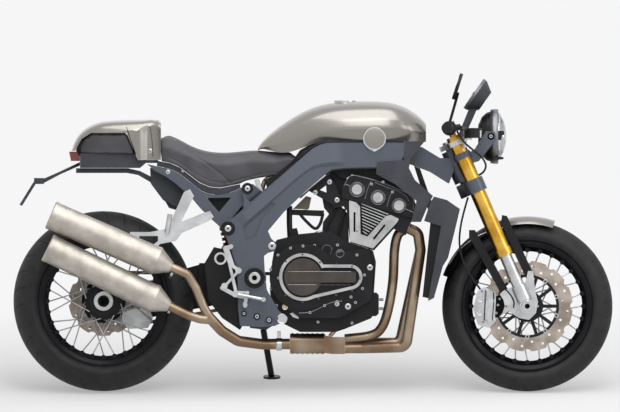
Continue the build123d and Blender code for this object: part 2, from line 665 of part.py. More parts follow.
with BuildPart() as cylinder_block:
    slab(HEAD_PIXELS, -HEAD_SIDE_HALF, HEAD_SIDE_HALF)
    slab(HEAD_LUG_PIXELS, -HEAD_SIDE_HALF, HEAD_SIDE_HALF)
    slab(BARREL_PIXELS, -BARREL_HALF, BARREL_HALF)
    for k in range(FIN_COUNT):
        share = k / (FIN_COUNT - 1)
        ends = []
        for top, base in zip(FIN_TOP_PIXELS, FIN_BASE_PIXELS):
            ends.append(Vector(*spot(top)) * (1 - share) + Vector(*spot(base)) * share)
        with BuildSketch(side_plane(-FIN_HALF)) as fin:
            with BuildLine():
                Polyline(
                    (ends[0].X, ends[0].Y),
                    (ends[1].X, ends[1].Y),
                    (ends[1].X, ends[1].Y - FIN_WALL),
                    (ends[0].X, ends[0].Y - FIN_WALL),
                    close=True,
                )
            make_face()
        extrude(fin.sketch, amount=2 * FIN_HALF)
keep("cylinder_block", cylinder_block.part)

CAM_OVERHANG = 18
CAM_HALF = HEAD_SIDE_HALF + CAM_OVERHANG
CAM_CORNER = 12
CAM_PIXELS = HEAD_JOINT_PIXELS[:1] + (
    (342, 188), (344, 183), (350, 176.5), (358, 174.5), (384, 182), (406, 191), (413.5, 197), (416, 205),
) + HEAD_JOINT_PIXELS[1:]
PLUGS_PIXELS = ((357, 189.5), (378, 197.5), (399, 205.5))
PLUG_RADIUS = 18
PLUG_RING_RADIUS = 25
PLUG_RISE = 4

with BuildPart() as cam_cover:
    slab(CAM_PIXELS, -CAM_HALF, CAM_HALF, OVERRUN)
    for pixel in PLUGS_PIXELS:
        for inner, outer in ((CAM_HALF, CAM_HALF + PLUG_RISE), (-CAM_HALF - PLUG_RISE, -CAM_HALF)):
            boss(pixel, PLUG_RING_RADIUS, inner, outer)
keep("cam_cover", cam_cover.part)

with BuildPart() as cam_plugs:
    for pixel in PLUGS_PIXELS:
        start = CAM_HALF + PLUG_RISE + SEAT_GAP
        boss(pixel, PLUG_RADIUS, start, start + PLUG_RISE)
        boss(pixel, PLUG_RADIUS, -start - PLUG_RISE, -start)
keep("engine_trims", cam_plugs.part)

VEE_WALL = 12
VEE_OUT = FIN_HALF + VEE_WALL
VEE_PIXELS = (
    (349, 200.4), (356, 202.4), (360, 206.5), (360.5, 234), (367.5, 236.5), (386, 216), (391, 215), (399, 219),
    (397, 222.5), (373, 248.5), (350, 241.5),
)
VEE_SLOTS_PIXELS = (((354.5, 213), (354.5, 231)), ((374, 238.5), (384.5, 225.5)))
VEE_SLOT_RADIUS = 3.5

with BuildPart() as vee_trims:
    slab_pair(VEE_PIXELS, FIN_HALF + SEAT_GAP, VEE_OUT, OVERRUN)
    for start, end in VEE_SLOTS_PIXELS:
        link(start, end, VEE_SLOT_RADIUS, FIN_HALF, VEE_OUT + OVERRUN, Mode.SUBTRACT)
        link(start, end, VEE_SLOT_RADIUS, -VEE_OUT - OVERRUN, -FIN_HALF, Mode.SUBTRACT)
keep("engine_trims", vee_trims.part)

MOUNT_PLATE_PIXELS = ((309, 191), (328, 174), (336, 185), (339.5, 196), (341, 203), (333, 205))
MOUNT_WINDOW_PIXELS = ((320, 190), (326, 185.5), (326.5, 192.5))
MOUNT_BOLTS_PIXELS = ((329.5, 181.5), (315, 192), (337, 199.5))
MOUNT_PLATE_WALL = SPAR_INNER - HEAD_SIDE_HALF - 2 * SEAT_GAP

with BuildPart() as engine_plates:
    start = HEAD_SIDE_HALF + SEAT_GAP
    end = start + MOUNT_PLATE_WALL
    slab_pair(MOUNT_PLATE_PIXELS, start, end, OVERRUN)
    slab_pair(MOUNT_WINDOW_PIXELS, start - OVERRUN, end + OVERRUN, 0, Mode.SUBTRACT)
    for pixel in MOUNT_BOLTS_PIXELS[2:]:
        boss(pixel, BOLT_RADIUS, end, end + BOLT_HEAD)
        boss(pixel, BOLT_RADIUS, -end - BOLT_HEAD, -end)
keep("cylinder_block", engine_plates.part)

# Tank: lofted along the machine from sections of lines and arcs
# Each station: place along, floor, shoulder and top, all in the view
TANK_STATIONS_PIXELS = (
    (258, 150.6, 149.4, 147.6),
    (274, 151.6, 145.5, 130.6),
    (292, 151.4, 141, 118.2),
    (318, 142.8, 133.5, 106),
    (350, 142.6, 130, 101.5),
    (385, 142.6, 128, 102),
    (410, 142.6, 131, 110),
    (426, 142.6, 135, 124),
)
TANK_UNDER_PIXELS = ((316, 143.2), (324, 141.9), (430, 141.9), (430, 150), (316, 150))
TANK_WIDTH_SHARES = (0.44, 0.58, 0.7, 0.86, 0.98, 1.0, 0.82, 0.44)
TANK_CROWN_SHARES = (0.5, 0.54, 0.56, 0.58, 0.58, 0.58, 0.54, 0.5)
TANK_HALF = 152
FOOT_SHARE = 0.9
SHOULDER_BULGE_SHARE = 0.13
CAP_PIXELS = (345, 103.2)
CAP_RADIUS = 38
CAP_RISE = 7


def arched_section(station, half, crown_share):
    """A cross section: flat floor, upright walls, arched shoulders and crown."""
    along, low, shoulder, high = station
    x, low_z = spot((along, low))
    shoulder_z = spot((along, shoulder))[1]
    high_z = spot((along, high))[1]
    crown = half * crown_share
    foot = half * FOOT_SHARE
    rise = (high_z - shoulder_z) * SHOULDER_BULGE_SHARE
    bulge = (half + crown) / 2 + (half - crown) * SHOULDER_BULGE_SHARE
    bulge_z = (shoulder_z + high_z) / 2 + rise
    with BuildSketch(Plane(origin=(x, 0, 0), x_dir=(0, 1, 0), z_dir=(1, 0, 0))) as section:
        with BuildLine():
            Polyline((-half, shoulder_z), (-foot, low_z), (foot, low_z), (half, shoulder_z))
            ThreePointArc((half, shoulder_z), (bulge, bulge_z), (crown, high_z - rise))
            ThreePointArc((crown, high_z - rise), (0, high_z), (-crown, high_z - rise))
            ThreePointArc((-crown, high_z - rise), (-bulge, bulge_z), (-half, shoulder_z))
        make_face()
    return section.sketch


def arched_body(stations, half, width_shares, crown_shares, mode=Mode.ADD):
    """A body through cross sections along the machine, each with its share of the half width."""
    rows = zip(stations, width_shares, crown_shares)
    loft([arched_section(station, half * width, crown) for station, width, crown in rows], mode=mode)


with BuildPart() as fuel_tank:
    arched_body(TANK_STATIONS_PIXELS, TANK_HALF, TANK_WIDTH_SHARES, TANK_CROWN_SHARES)
    slab(TANK_UNDER_PIXELS, -TANK_HALF, TANK_HALF, 0, Mode.SUBTRACT)
    disc(place(CAP_PIXELS, 0), (0, 0, 1), CAP_RADIUS + SEAT_GAP, CAP_RISE * 2, Mode.SUBTRACT)
keep("fuel_tank", fuel_tank.part)

with BuildPart() as fuel_cap:
    cap_base = place(CAP_PIXELS, 0) + Vector(0, 0, SEAT_GAP)
    disc(cap_base, (0, 0, 1), CAP_RADIUS, CAP_RISE + OVERRUN)
keep("fuel_cap", fuel_cap.part)

# Seat, tail pad, cowl and what hangs under them
SEAT_HALF = 118
SEAT_BASE_PIXELS = (
    (299.5, 156.5), (292, 163), (282, 172), (277, 175.5), (260, 178), (246, 181), (240, 184), (220, 188),
    (210, 187), (200, 183), (190, 175.5), (180, 167.5), (170, 163), (161, 161.5),
)
SEAT_ROOF_PIXELS = ((161, 130), (299.5, 130))
# Each station: place along, floor, shoulder and top, all in the view
SEAT_STATIONS_PIXELS = (
    (160, 200, 147, 136.2), (172, 200, 148, 137.4), (184, 200, 153, 143.6), (197, 200, 159, 149.8),
    (212, 200, 163, 153.4), (228, 200, 164, 154), (244, 200, 162, 152.6), (256, 200, 161, 151.9),
    (276, 200, 161.5, 153.4), (300, 200, 163, 156),
)
SEAT_WIDTH_SHARES = (0.95, 0.97, 0.99, 1.0, 0.97, 0.92, 0.87, 0.84, 0.82, 0.8)
SEAT_CROWN_SHARES = (0.62, 0.62, 0.62, 0.62, 0.6, 0.6, 0.62, 0.66, 0.7, 0.7)
PAN_HALF = 100
PAN_SINK_PIXELS = 0.1
PAN_UNDER_PIXELS = (
    (157, 160.3), (157, 166.2), (161, 167), (170, 168.85), (180, 173.85), (190, 181.85), (200, 189.85),
    (207, 193.35), (216, 194.85), (225, 193.85), (235, 190.85), (240.5, 187.9),
)
TAIL_HALF = 104
PAD_PIXELS = ((80.4, 147), (84, 140.6), (92.5, 133.7), (126, 133.7), (134.2, 153.4), (80.4, 153.4))
PAD_STATIONS_PIXELS = (
    (78, 170, 150, 130), (90, 170, 143, 124), (102, 170, 141, 122), (116, 170, 141, 122), (136, 170, 141, 122),
)
PAD_WIDTH_SHARES = (0.66, 0.86, 0.94, 0.98, 1.0)
PAD_CROWN_SHARES = (0.8, 0.8, 0.8, 0.8, 0.8)
COWL_HALF = 114
COWL_PIXELS = (
    (71.5, 151), (71.5, 112), (160.9, 112), (160.9, 159.9), (138, 159.9), (126.5, 133), (91, 133),
    (81.5, 139), (75, 151),
)
COWL_STATIONS_PIXELS = (
    (71, 180, 160, 151.5), (74, 180, 154, 143.2), (80, 180, 145, 133.4), (90, 180, 138, 126),
    (101, 180, 134, 121.8), (114, 180, 132, 120.3), (136, 180, 131, 120), (162, 180, 131, 120),
)
COWL_WIDTH_SHARES = (0.6, 0.67, 0.77, 0.88, 0.94, 0.98, 1.0, 1.0)
COWL_CROWN_SHARES = (0.6, 0.6, 0.6, 0.6, 0.6, 0.6, 0.6, 0.6)
UNDERTRAY_HALF = 84
UNDERTRAY_PIXELS = ((80, 153.5), (135, 153.5), (138, 160), (158, 160), (158, 163), (146, 163), (140, 168), (80, 168))
LOWER_TRAY_HALF = 60
LOWER_TRAY_PIXELS = (
    (76, 168.2), (128, 168.2), (140, 171), (150, 176), (160, 186), (168, 196), (172, 205), (178, 207),
    (176, 210), (169, 208), (162, 196), (150, 182), (138, 175), (127, 173), (76, 173),
)
LAMP_HALF = 48
LAMP_PIXELS = ((69, 151.6), (79.9, 151.6), (79.9, 161), (71, 161))

with BuildPart() as seat:
    slab(SEAT_BASE_PIXELS + SEAT_ROOF_PIXELS, -SEAT_HALF, SEAT_HALF)
    arched_body(SEAT_STATIONS_PIXELS, SEAT_HALF, SEAT_WIDTH_SHARES, SEAT_CROWN_SHARES, Mode.INTERSECT)
keep("seat", seat.part)

with BuildPart() as tail_pad:
    slab(PAD_PIXELS, -TAIL_HALF, TAIL_HALF, OVERRUN)
    arched_body(PAD_STATIONS_PIXELS, TAIL_HALF, PAD_WIDTH_SHARES, PAD_CROWN_SHARES, Mode.INTERSECT)
keep("tail_pad", tail_pad.part)

with BuildPart() as seat_cowl:
    slab(COWL_PIXELS, -COWL_HALF, COWL_HALF)
    arched_body(COWL_STATIONS_PIXELS, COWL_HALF, COWL_WIDTH_SHARES, COWL_CROWN_SHARES, Mode.INTERSECT)
keep("seat_cowl", seat_cowl.part)

with BuildPart() as undertray:
    slab(UNDERTRAY_PIXELS, -UNDERTRAY_HALF, UNDERTRAY_HALF)
    pan_end = PAN_UNDER_PIXELS[-1][0]
    pan_top = [(along, down + PAN_SINK_PIXELS) for along, down in SEAT_BASE_PIXELS if along <= pan_end]
    slab(pan_top + list(PAN_UNDER_PIXELS), -PAN_HALF, PAN_HALF)
    slab(LOWER_TRAY_PIXELS, -LOWER_TRAY_HALF, LOWER_TRAY_HALF)
keep("undertray", undertray.part)

with BuildPart() as tail_lamp:
    slab(LAMP_PIXELS, -LAMP_HALF, LAMP_HALF, OVERRUN)
keep("tail_lamp", tail_lamp.part)

PLATE_ARM_PIXELS = ((79.9, 162), (79.9, 165.6), (60, 174.5), (44, 183), (44, 178.5), (60, 171.5))
PLATE_ARM_HALF = 16
PLATE_BLOCK_PIXELS = ((34, 178), (44, 178), (44, 184), (34, 184))
PLATE_BLOCK_HALF = 40
PLATE_HALF = 62
PLATE_PIXELS = ((33.5, 182), (36, 183.5), (22, 206), (19.5, 204.5))

with BuildPart() as plate_bracket:
    slab(PLATE_ARM_PIXELS, -PLATE_ARM_HALF, PLATE_ARM_HALF)
    slab(PLATE_BLOCK_PIXELS, -PLATE_BLOCK_HALF, PLATE_BLOCK_HALF)
    slab(PLATE_PIXELS, -PLATE_HALF, PLATE_HALF)
keep("undertray", plate_bracket.part)

# Intake side panels, radiator and its shrouds
PANEL_INNER = SPAR_OUTER + SEAT_GAP
PANEL_WALL = 8
PANEL_OUTER = PANEL_INNER + PANEL_WALL
PANEL_PIXELS = (
    (405, 141.5), (425, 141), (411, 158), (409, 168), (415, 180), (433, 196), (429, 203), (421, 222),
    (411, 222), (416.5, 201), (395, 184), (376, 174), (377, 162), (404, 160),
)
CORE_HALF = 146
CORE_PIXELS = ((430.5, 221), (443, 225), (432, 299), (422.5, 297))
TANK_CAP_PIXELS = ((428, 211), (445, 215), (443.4, 226), (430, 222.5))
SHROUD_INNER = CORE_HALF + SEAT_GAP
SHROUD_WALL = 20
SHROUD_OUTER = SHROUD_INNER + SHROUD_WALL
SHROUD_PIXELS = (
    (434, 196.5), (447, 200), (460, 209), (455, 230), (448, 258), (443, 266), (434, 298), (428, 301),
    (441, 226), (424, 221), (430, 203),
)
CORE_STAY_PIXELS = ((414, 165.95), (420, 168.25), (436, 214), (429, 213))
CORE_STAY_HALF = 30

with BuildPart() as side_panels:
    slab_pair(PANEL_PIXELS, PANEL_INNER, PANEL_OUTER)
keep("side_panels", side_panels.part)

with BuildPart() as radiator:
    slab(CORE_PIXELS, -CORE_HALF, CORE_HALF)
    slab(TANK_CAP_PIXELS, -CORE_HALF, CORE_HALF)
    slab(CORE_STAY_PIXELS, -CORE_STAY_HALF, CORE_STAY_HALF)
keep("radiator", radiator.part)

with BuildPart() as radiator_shrouds:
    slab_pair(SHROUD_PIXELS, SHROUD_INNER, SHROUD_OUTER)
keep("radiator_shrouds", radiator_shrouds.part)

# Exhaust: three headers into a collector under the engine, then up into two silencers
PIPE_RADIUS = 19
PIPE_BEND = 46
HEADER_BEND = 28
PORT_OUTS = (78, 0, -78)
HEADER_ENDS = (44, 0, -44)
HEADER_ROUTES_PIXELS = (
    ((408.6, 228.6), (418, 232.6), (420.5, 250), (406, 347), (362, 348), (345.1, 348)),
    ((408.6, 228.6), (418, 232.6), (420.5, 250), (400, 343), (345.1, 343)),
    ((408.6, 228.6), (418, 232.6), (420.5, 250), (406, 347), (362, 348), (345.1, 348)),
)
COLLECTOR_PIXELS = ((345, 337), (345, 354), (332, 354), (324, 353), (324, 335), (332, 337))
COLLECTOR_HALF = 66
CAN_FRONT_PIXELS = (325, 333.6)
CAN_REAR_PIXELS = (290, 353.6)
CAN_HALF = 68
CAN_CORNER = 26
CAN_RIBS = 7
CAN_RIB_WIDTH = 6
CAN_RIB_RISE = 2

with BuildPart() as headers:
    for route, port_out, end_out in zip(HEADER_ROUTES_PIXELS, PORT_OUTS, HEADER_ENDS):
        outs = (port_out, port_out, port_out, port_out, end_out, end_out)
        tube([place(pixel, out) for pixel, out in zip(route, outs)], HEADER_BEND, PIPE_RADIUS)
keep("headers", headers.part)

with BuildPart() as collector:
    slab(COLLECTOR_PIXELS, -COLLECTOR_HALF, COLLECTOR_HALF, OVERRUN)
    can_front, can_top = spot(CAN_FRONT_PIXELS)
    can_rear, can_base = spot(CAN_REAR_PIXELS)
    can_tall = can_top - can_base
    rib_pitch = (can_front - can_rear) / CAN_RIBS
    rings = [(can_rear, can_front - can_rear, 0)]
    for k in range(CAN_RIBS):
        rings.append((can_rear + (k + 0.5) * rib_pitch - CAN_RIB_WIDTH / 2, CAN_RIB_WIDTH, CAN_RIB_RISE))
    for start, length, rise in rings:
        centre = (start, 0, (can_top + can_base) / 2)
        with BuildSketch(Plane(origin=centre, x_dir=(0, 1, 0), z_dir=(1, 0, 0))) as can_section:
            RectangleRounded(2 * (CAN_HALF + rise), can_tall + 2 * rise, CAN_CORNER + rise)
        extrude(can_section.sketch, amount=length)
keep("collector", collector.part)

# Swingarm: a cross tube at the pivot, one arm out past the tyre on the left, and the wheel's hub
ARM_TUBE_RADIUS = 32
ARM_ROOT_INNER = 60
ARM_TYRE_OUT = 106
ARM_HUB_RADIUS = 58
ARM_HUB_INNER = 97
ARM_HUB_OUTER = 162
ARM_ROOT_PIXELS = ((199, 263), (262, 264), (262, 292), (235, 302), (199, 306))
ARM_PIXELS = (
    (222, 262), (205, 263), (180, 270), (150, 281), (120, 284), (103, 284), (88, 292), (88, 310),
    (103, 318), (125, 321), (160, 316), (200, 308), (222, 304),
)
ARM_WINDOW_PIXELS = ((205, 273), (215, 274), (215, 293), (200, 298), (160, 306), (140, 306), (150, 291))
ARM_WEB = 14
SHOCK_BASE_PIXELS = (236, 262)
SHOCK_EYE_RADIUS = 14
ARM_LUG_PIXELS = ((258, 262), (256, 292), (240, 290), (229, 268), (230, 257), (241, 256))

with BuildPart() as swingarm:
    boss(PIVOT_PIXELS, ARM_TUBE_RADIUS, -BRIDGE_HALF, BRIDGE_HALF)
    slab(ARM_ROOT_PIXELS, -ARM_TYRE_OUT - OVERRUN, -ARM_ROOT_INNER, SPAR_CORNER)
    slab(ARM_PIXELS, -ARM_OUTER, -ARM_TYRE_OUT, SPAR_CORNER)
    slab(ARM_WINDOW_PIXELS, -ARM_OUTER, -ARM_OUTER + ARM_WEB, SPAR_CORNER, Mode.SUBTRACT)
    disc(REAR_AXLE - RIGHT * ARM_HUB_INNER, -RIGHT, ARM_HUB_RADIUS, ARM_HUB_OUTER - ARM_HUB_INNER)
    slab_pair(ARM_LUG_PIXELS, SHOCK_EYE_HALF + SEAT_GAP, SHOCK_LUG_HALF + SHOCK_PIN_RADIUS)
    boss(PIVOT_PIXELS, PIVOT_RADIUS + SEAT_GAP, -BRIDGE_HALF - OVERRUN, BRIDGE_HALF + OVERRUN, Mode.SUBTRACT)
    disc(
        REAR_AXLE - RIGHT * (ARM_HUB_INNER - OVERRUN),
        -RIGHT,
        SPINDLE_RADIUS + RUNNING_GAP,
        ARM_HUB_OUTER - ARM_HUB_INNER + 2 * OVERRUN,
        Mode.SUBTRACT,
    )
    boss(SHOCK_BASE_PIXELS, SHOCK_PIN_RADIUS + SEAT_GAP, -SPAR_INNER, SPAR_INNER, Mode.SUBTRACT)
keep("swingarm", swingarm.part)

PIVOT_BORE = 7
PIVOT_HEAD_RADIUS = 20
PIVOT_HEAD = 8

with BuildPart() as pivot_bolt:
    boss(PIVOT_PIXELS, PIVOT_RADIUS, -PIVOT_BOSS_OUT, PIVOT_BOSS_OUT)
    for inner in (PIVOT_BOSS_OUT, -PIVOT_BOSS_OUT - PIVOT_HEAD):
        boss(PIVOT_PIXELS, PIVOT_HEAD_RADIUS, inner, inner + PIVOT_HEAD)
    boss(PIVOT_PIXELS, PIVOT_BORE, -SPAR_OUTER * 2, SPAR_OUTER * 2, Mode.SUBTRACT)
keep("pivot_bolt", pivot_bolt.part)

# Shock: an eye at each end, a damper body and a coil drawn as stacked rings
SPRING_RADIUS = 30
SPRING_WIRE_RADIUS = 6
SPRING_TURNS = 7
SPRING_START = 42
SHOCK_BODY_RADIUS = 21
SHOCK_SEAT = 5

with BuildPart() as shock:
    shock_base = place(SHOCK_BASE_PIXELS, 0)
    shock_top = place(SHOCK_TOP_PIXELS, 0)
    shock_run = shock_top - shock_base
    shock_way = shock_run.normalized()
    bar(shock_base, shock_top, SHOCK_EYE_RADIUS - OVERRUN)
    for eye in (SHOCK_BASE_PIXELS, SHOCK_TOP_PIXELS):
        boss(eye, SHOCK_EYE_RADIUS, -SHOCK_EYE_HALF + SEAT_GAP, SHOCK_EYE_HALF - SEAT_GAP)
    pitch = (shock_run.length - 2 * SPRING_START) / SPRING_TURNS
    for k in range(SPRING_TURNS):
        start = shock_base + shock_way * (SPRING_START + (k + 0.5) * pitch - SPRING_WIRE_RADIUS)
        disc(start, shock_way, SPRING_RADIUS, 2 * SPRING_WIRE_RADIUS)
    disc(
        shock_base + shock_way * SPRING_START,
        shock_way,
        SHOCK_BODY_RADIUS,
        shock_run.length - 2 * SPRING_START,
    )
    for eye in (SHOCK_BASE_PIXELS, SHOCK_TOP_PIXELS):
        boss(eye, SHOCK_PIN_RADIUS + SEAT_GAP, -SPAR_INNER, SPAR_INNER, Mode.SUBTRACT)
keep("shock", shock.part)

with BuildPart() as shock_pins:
    base_half = SHOCK_LUG_HALF + SHOCK_PIN_RADIUS
    boss(SHOCK_BASE_PIXELS, SHOCK_PIN_RADIUS, -base_half, base_half)
    boss(SHOCK_TOP_PIXELS, SHOCK_PIN_RADIUS, -SHOCK_LUG_HALF, SHOCK_LUG_HALF)
keep("shock", shock_pins.part)

# Chain: two side plate loops with rollers along the straight runs
PLATE_DEPTH = 12
CHAIN_HALF_GAP = 5
CHAIN_PLATE = 2.5
CHAIN_INNER = SPROCKET_OUT - CHAIN_HALF_GAP - CHAIN_PLATE
CHAIN_OUTER = SPROCKET_OUT + SPROCKET_WALL + CHAIN_HALF_GAP
ROLLER_RADIUS = 4.5
ROLLER_CLEAR = 54
FRONT_ROLLER_CLEAR = 28
FRONT_PITCH_RADIUS = CHAIN_PITCH / (2 * sin(pi / FRONT_SPROCKET_TEETH))
REAR_PITCH_RADIUS = CHAIN_PITCH / (2 * sin(pi / SPROCKET_TEETH))

with BuildPart() as chain:
    front_spot = spot(OUTPUT_PIXELS)
    rear_spot = (REAR_AXLE.X, REAR_AXLE.Z)
    for start in (-CHAIN_INNER - CHAIN_PLATE, -CHAIN_OUTER - CHAIN_PLATE):
        with BuildSketch(side_plane(start)) as loop:
            for spread, mode in ((PLATE_DEPTH / 2, Mode.ADD), (-PLATE_DEPTH / 2, Mode.SUBTRACT)):
                with BuildSketch(mode=Mode.PRIVATE) as ring:
                    with Locations(front_spot):
                        Circle(FRONT_PITCH_RADIUS + spread)
                    with Locations(rear_spot):
                        Circle(REAR_PITCH_RADIUS + spread)
                    make_hull()
                add(ring.sketch, mode=mode)
        extrude(loop.sketch, amount=CHAIN_PLATE)
    axis_run = Vector(front_spot[0] - rear_spot[0], front_spot[1] - rear_spot[1])
    straight = sqrt(axis_run.length**2 - (REAR_PITCH_RADIUS - FRONT_PITCH_RADIUS) ** 2)
    tilt = degrees(atan2(axis_run.Y, axis_run.X))
    taper = degrees(asin((REAR_PITCH_RADIUS - FRONT_PITCH_RADIUS) / axis_run.length))
    count = int((straight - ROLLER_CLEAR - FRONT_ROLLER_CLEAR) / CHAIN_PITCH)
    for hand in (1, -1):
        way = Vector(1, 0).rotate(Axis.Z, tilt - hand * taper)
        normal = Vector(-way.Y, way.X) * hand
        with BuildSketch(side_plane(-CHAIN_OUTER - CHAIN_PLATE)) as rollers:
            first = Vector(*rear_spot) + normal * REAR_PITCH_RADIUS + way * ROLLER_CLEAR
            centres = [first + way * (CHAIN_PITCH * k) for k in range(count + 1)]
            with Locations(*[(centre.X, centre.Y) for centre in centres]):
                Circle(ROLLER_RADIUS)
        extrude(rollers.sketch, amount=CHAIN_OUTER + CHAIN_PLATE - CHAIN_INNER)
keep("chain", chain.part)

# Rear caliper: a block on the arm's inner face, open over the disc
REAR_CALIPER_PIXELS = ((124, 309), (149, 308), (153, 318), (148, 328), (128, 329), (121, 320))
REAR_CALIPER_INNER = 73
BRAKE_GAP = 5

with BuildPart() as rear_caliper:
    slab(REAR_CALIPER_PIXELS, -ARM_TYRE_OUT + SEAT_GAP, -REAR_CALIPER_INNER, SPAR_CORNER)
    disc(
        REAR_AXLE - RIGHT * (REAR_DISC_OUT - BRAKE_GAP),
        -RIGHT,
        REAR_DISC_OUTER + BRAKE_GAP,
        DISC_WALL + 2 * BRAKE_GAP,
        Mode.SUBTRACT,
    )
keep("rear_caliper", rear_caliper.part)

# Tail pipe on the right, split to two silencers
SILENCER_OUT = 182
LINK_RADIUS = 16
TAIL_ROUTE_PIXELS = ((289.9, 344), (276, 344), (262, 344.2), (238, 341), (222, 331), (208, 316))
TAIL_OUTS = (45, 45, 76, 132, 158, 176)
UPPER_LINK_PIXELS = ((210, 318), (203, 306), (196, 288), (188, 274.7), (171.58, 267.535))
UPPER_LINK_OUTS = (174, 178, SILENCER_OUT, SILENCER_OUT, SILENCER_OUT)
LOWER_LINK_PIXELS = ((212, 320), (200, 319), (187, 314.74), (169.58, 306.34))
LOWER_LINK_OUTS = (172, 180, SILENCER_OUT, SILENCER_OUT)
LINK_BEND = 28
SILENCERS_PIXELS = (((171.5, 267.5), (50.5, 214.7)), ((169.5, 306.3), (47.4, 247.4)))
SILENCER_RADIUS = 50
CONE_SHARE = 0.12
SILENCER_NECK = 19
SILENCER_LIP = 4
SILENCER_BAND = 14
SILENCER_BAND_RISE = 1.5
OUTLET_RADIUS = 34
OUTLET_DEPTH = 60

with BuildPart() as tail_pipe:
    tube([place(*row) for row in zip(TAIL_ROUTE_PIXELS, TAIL_OUTS)], PIPE_BEND, PIPE_RADIUS)
    tube([place(*row) for row in zip(UPPER_LINK_PIXELS, UPPER_LINK_OUTS)], LINK_BEND, LINK_RADIUS)
    tube([place(*row) for row in zip(LOWER_LINK_PIXELS, LOWER_LINK_OUTS)], LINK_BEND, LINK_RADIUS)
keep("tail_pipe", tail_pipe.part)

for front, rear in SILENCERS_PIXELS:
    silencer_front = place(front, SILENCER_OUT)
    silencer_run = place(rear, SILENCER_OUT) - silencer_front
    length = silencer_run.length
    cone = length * CONE_SHARE
    band_radius = SILENCER_RADIUS + SILENCER_BAND_RISE
    with BuildPart() as silencer:
        silencer_plane = Plane(origin=silencer_front, x_dir=silencer_run, z_dir=RIGHT)
        with BuildSketch(silencer_plane) as silencer_profile:
            with BuildLine():
                Polyline(
                    (0, 0),
                    (0, SILENCER_NECK),
                    (cone, SILENCER_RADIUS),
                    (cone, band_radius),
                    (cone + SILENCER_BAND, band_radius),
                    (cone + SILENCER_BAND, SILENCER_RADIUS),
                    (length - SILENCER_BAND, SILENCER_RADIUS),
                    (length - SILENCER_BAND, band_radius),
                    (length - SILENCER_LIP, band_radius),
                    (length, band_radius - SILENCER_LIP),
                    (length, OUTLET_RADIUS),
                    (length - OUTLET_DEPTH, OUTLET_RADIUS - SILENCER_LIP),
                    (length - OUTLET_DEPTH, 0),
                    close=True,
                )
            make_face()
        revolve(silencer_profile.sketch, axis=Axis(silencer_front, silencer_run))
    keep("silencers", silencer.part)

# Passenger hangers
HANGER_WALL = 9
PASSENGER_INNER = 119
PASSENGER_PIXELS = (
    (184, 192), (190, 189), (194, 196), (181, 222), (203, 213), (210, 211), (214, 217), (209, 221),
    (182, 233), (176, 241), (160, 244), (148, 256), (137, 256), (130, 239), (130, 232), (150, 232),
    (166, 229), (170, 223),
)
PASSENGER_WINDOW_PIXELS = ((139, 236), (158, 236), (158, 241), (146, 251), (141, 250))
PASSENGER_BOLTS_PIXELS = ((189, 194), (208.5, 216))
SILENCER_STUD_PIXELS = (142, 252.5)
PEG_ROOT_PIXELS = (167, 233)
PEG_TIP_PIXELS = (170, 214)
PASSENGER_PEG_OUT = 142
PASSENGER_PEG_RADIUS = 9

with BuildPart() as passenger_hangers:
    outer = PASSENGER_INNER + HANGER_WALL
    slab_pair(PASSENGER_PIXELS, PASSENGER_INNER, outer, OVERRUN)
    slab_pair(PASSENGER_WINDOW_PIXELS, PASSENGER_INNER - OVERRUN, outer + OVERRUN, OVERRUN, Mode.SUBTRACT)
    for pixel in PASSENGER_BOLTS_PIXELS:
        boss(pixel, BOLT_RADIUS, SPAR_INNER, outer + BOLT_HEAD)
        boss(pixel, BOLT_RADIUS, -outer - BOLT_HEAD, -SPAR_INNER)
    for side in (1, -1):
        lug = (outer, PASSENGER_PEG_OUT) if side > 0 else (-PASSENGER_PEG_OUT, -outer)
        boss(PEG_ROOT_PIXELS, BOLT_RADIUS, *lug)
        bar(
            place(PEG_ROOT_PIXELS, side * PASSENGER_PEG_OUT),
            place(PEG_TIP_PIXELS, side * PASSENGER_PEG_OUT),
            PASSENGER_PEG_RADIUS,
        )
    boss(SILENCER_STUD_PIXELS, BOLT_RADIUS, outer, SILENCER_OUT - SILENCER_RADIUS - SEAT_GAP)
keep("passenger_hangers", passenger_hangers.part)

# Rider hangers with pegs and foot levers
RIDER_INNER = PIVOT_BOSS_OUT + PIVOT_HEAD + SEAT_GAP
RIDER_LINKS = (
    ((231, 246.5), (226, 248.5), 8),
    ((226, 248.5), (231.5, 265), 10),
    ((229.5, 264), (233, 279), 5),
    ((231.5, 265), (239, 270.5), 6),
    ((238.5, 271), (225, 286), 4.5),
    ((233, 279), (236, 292), 5.5),
    ((222, 288), (236, 295.5), 7),
    ((236, 292), (248, 292.5), 4),
    ((236, 295.5), (246, 297.5), 6),
    ((247.5, 292.5), (245, 304), 6),
)
RIDER_LOOP_PIXELS = (220.5, 258.5)
RIDER_LOOP_RADIUS = 22
RIDER_LOOP_WALL = 7
RIDER_BOLTS_PIXELS = ((231, 246.5), (245, 304))
PEG_PIXELS = (224.5, 286)
PEG_RADIUS = 11
PEG_END = 252
PEDAL_PIVOT_PIXELS = (235, 294)
PEDAL_TIP_PIXELS = (263.5, 299.5)
PEDAL_STOP_PIXELS = (238.5, 270.5)
LEVER_RADIUS = 6
PEDAL_OUT = 182
TOE_OUT = 222
LEFT_LEVER_OUT = 194

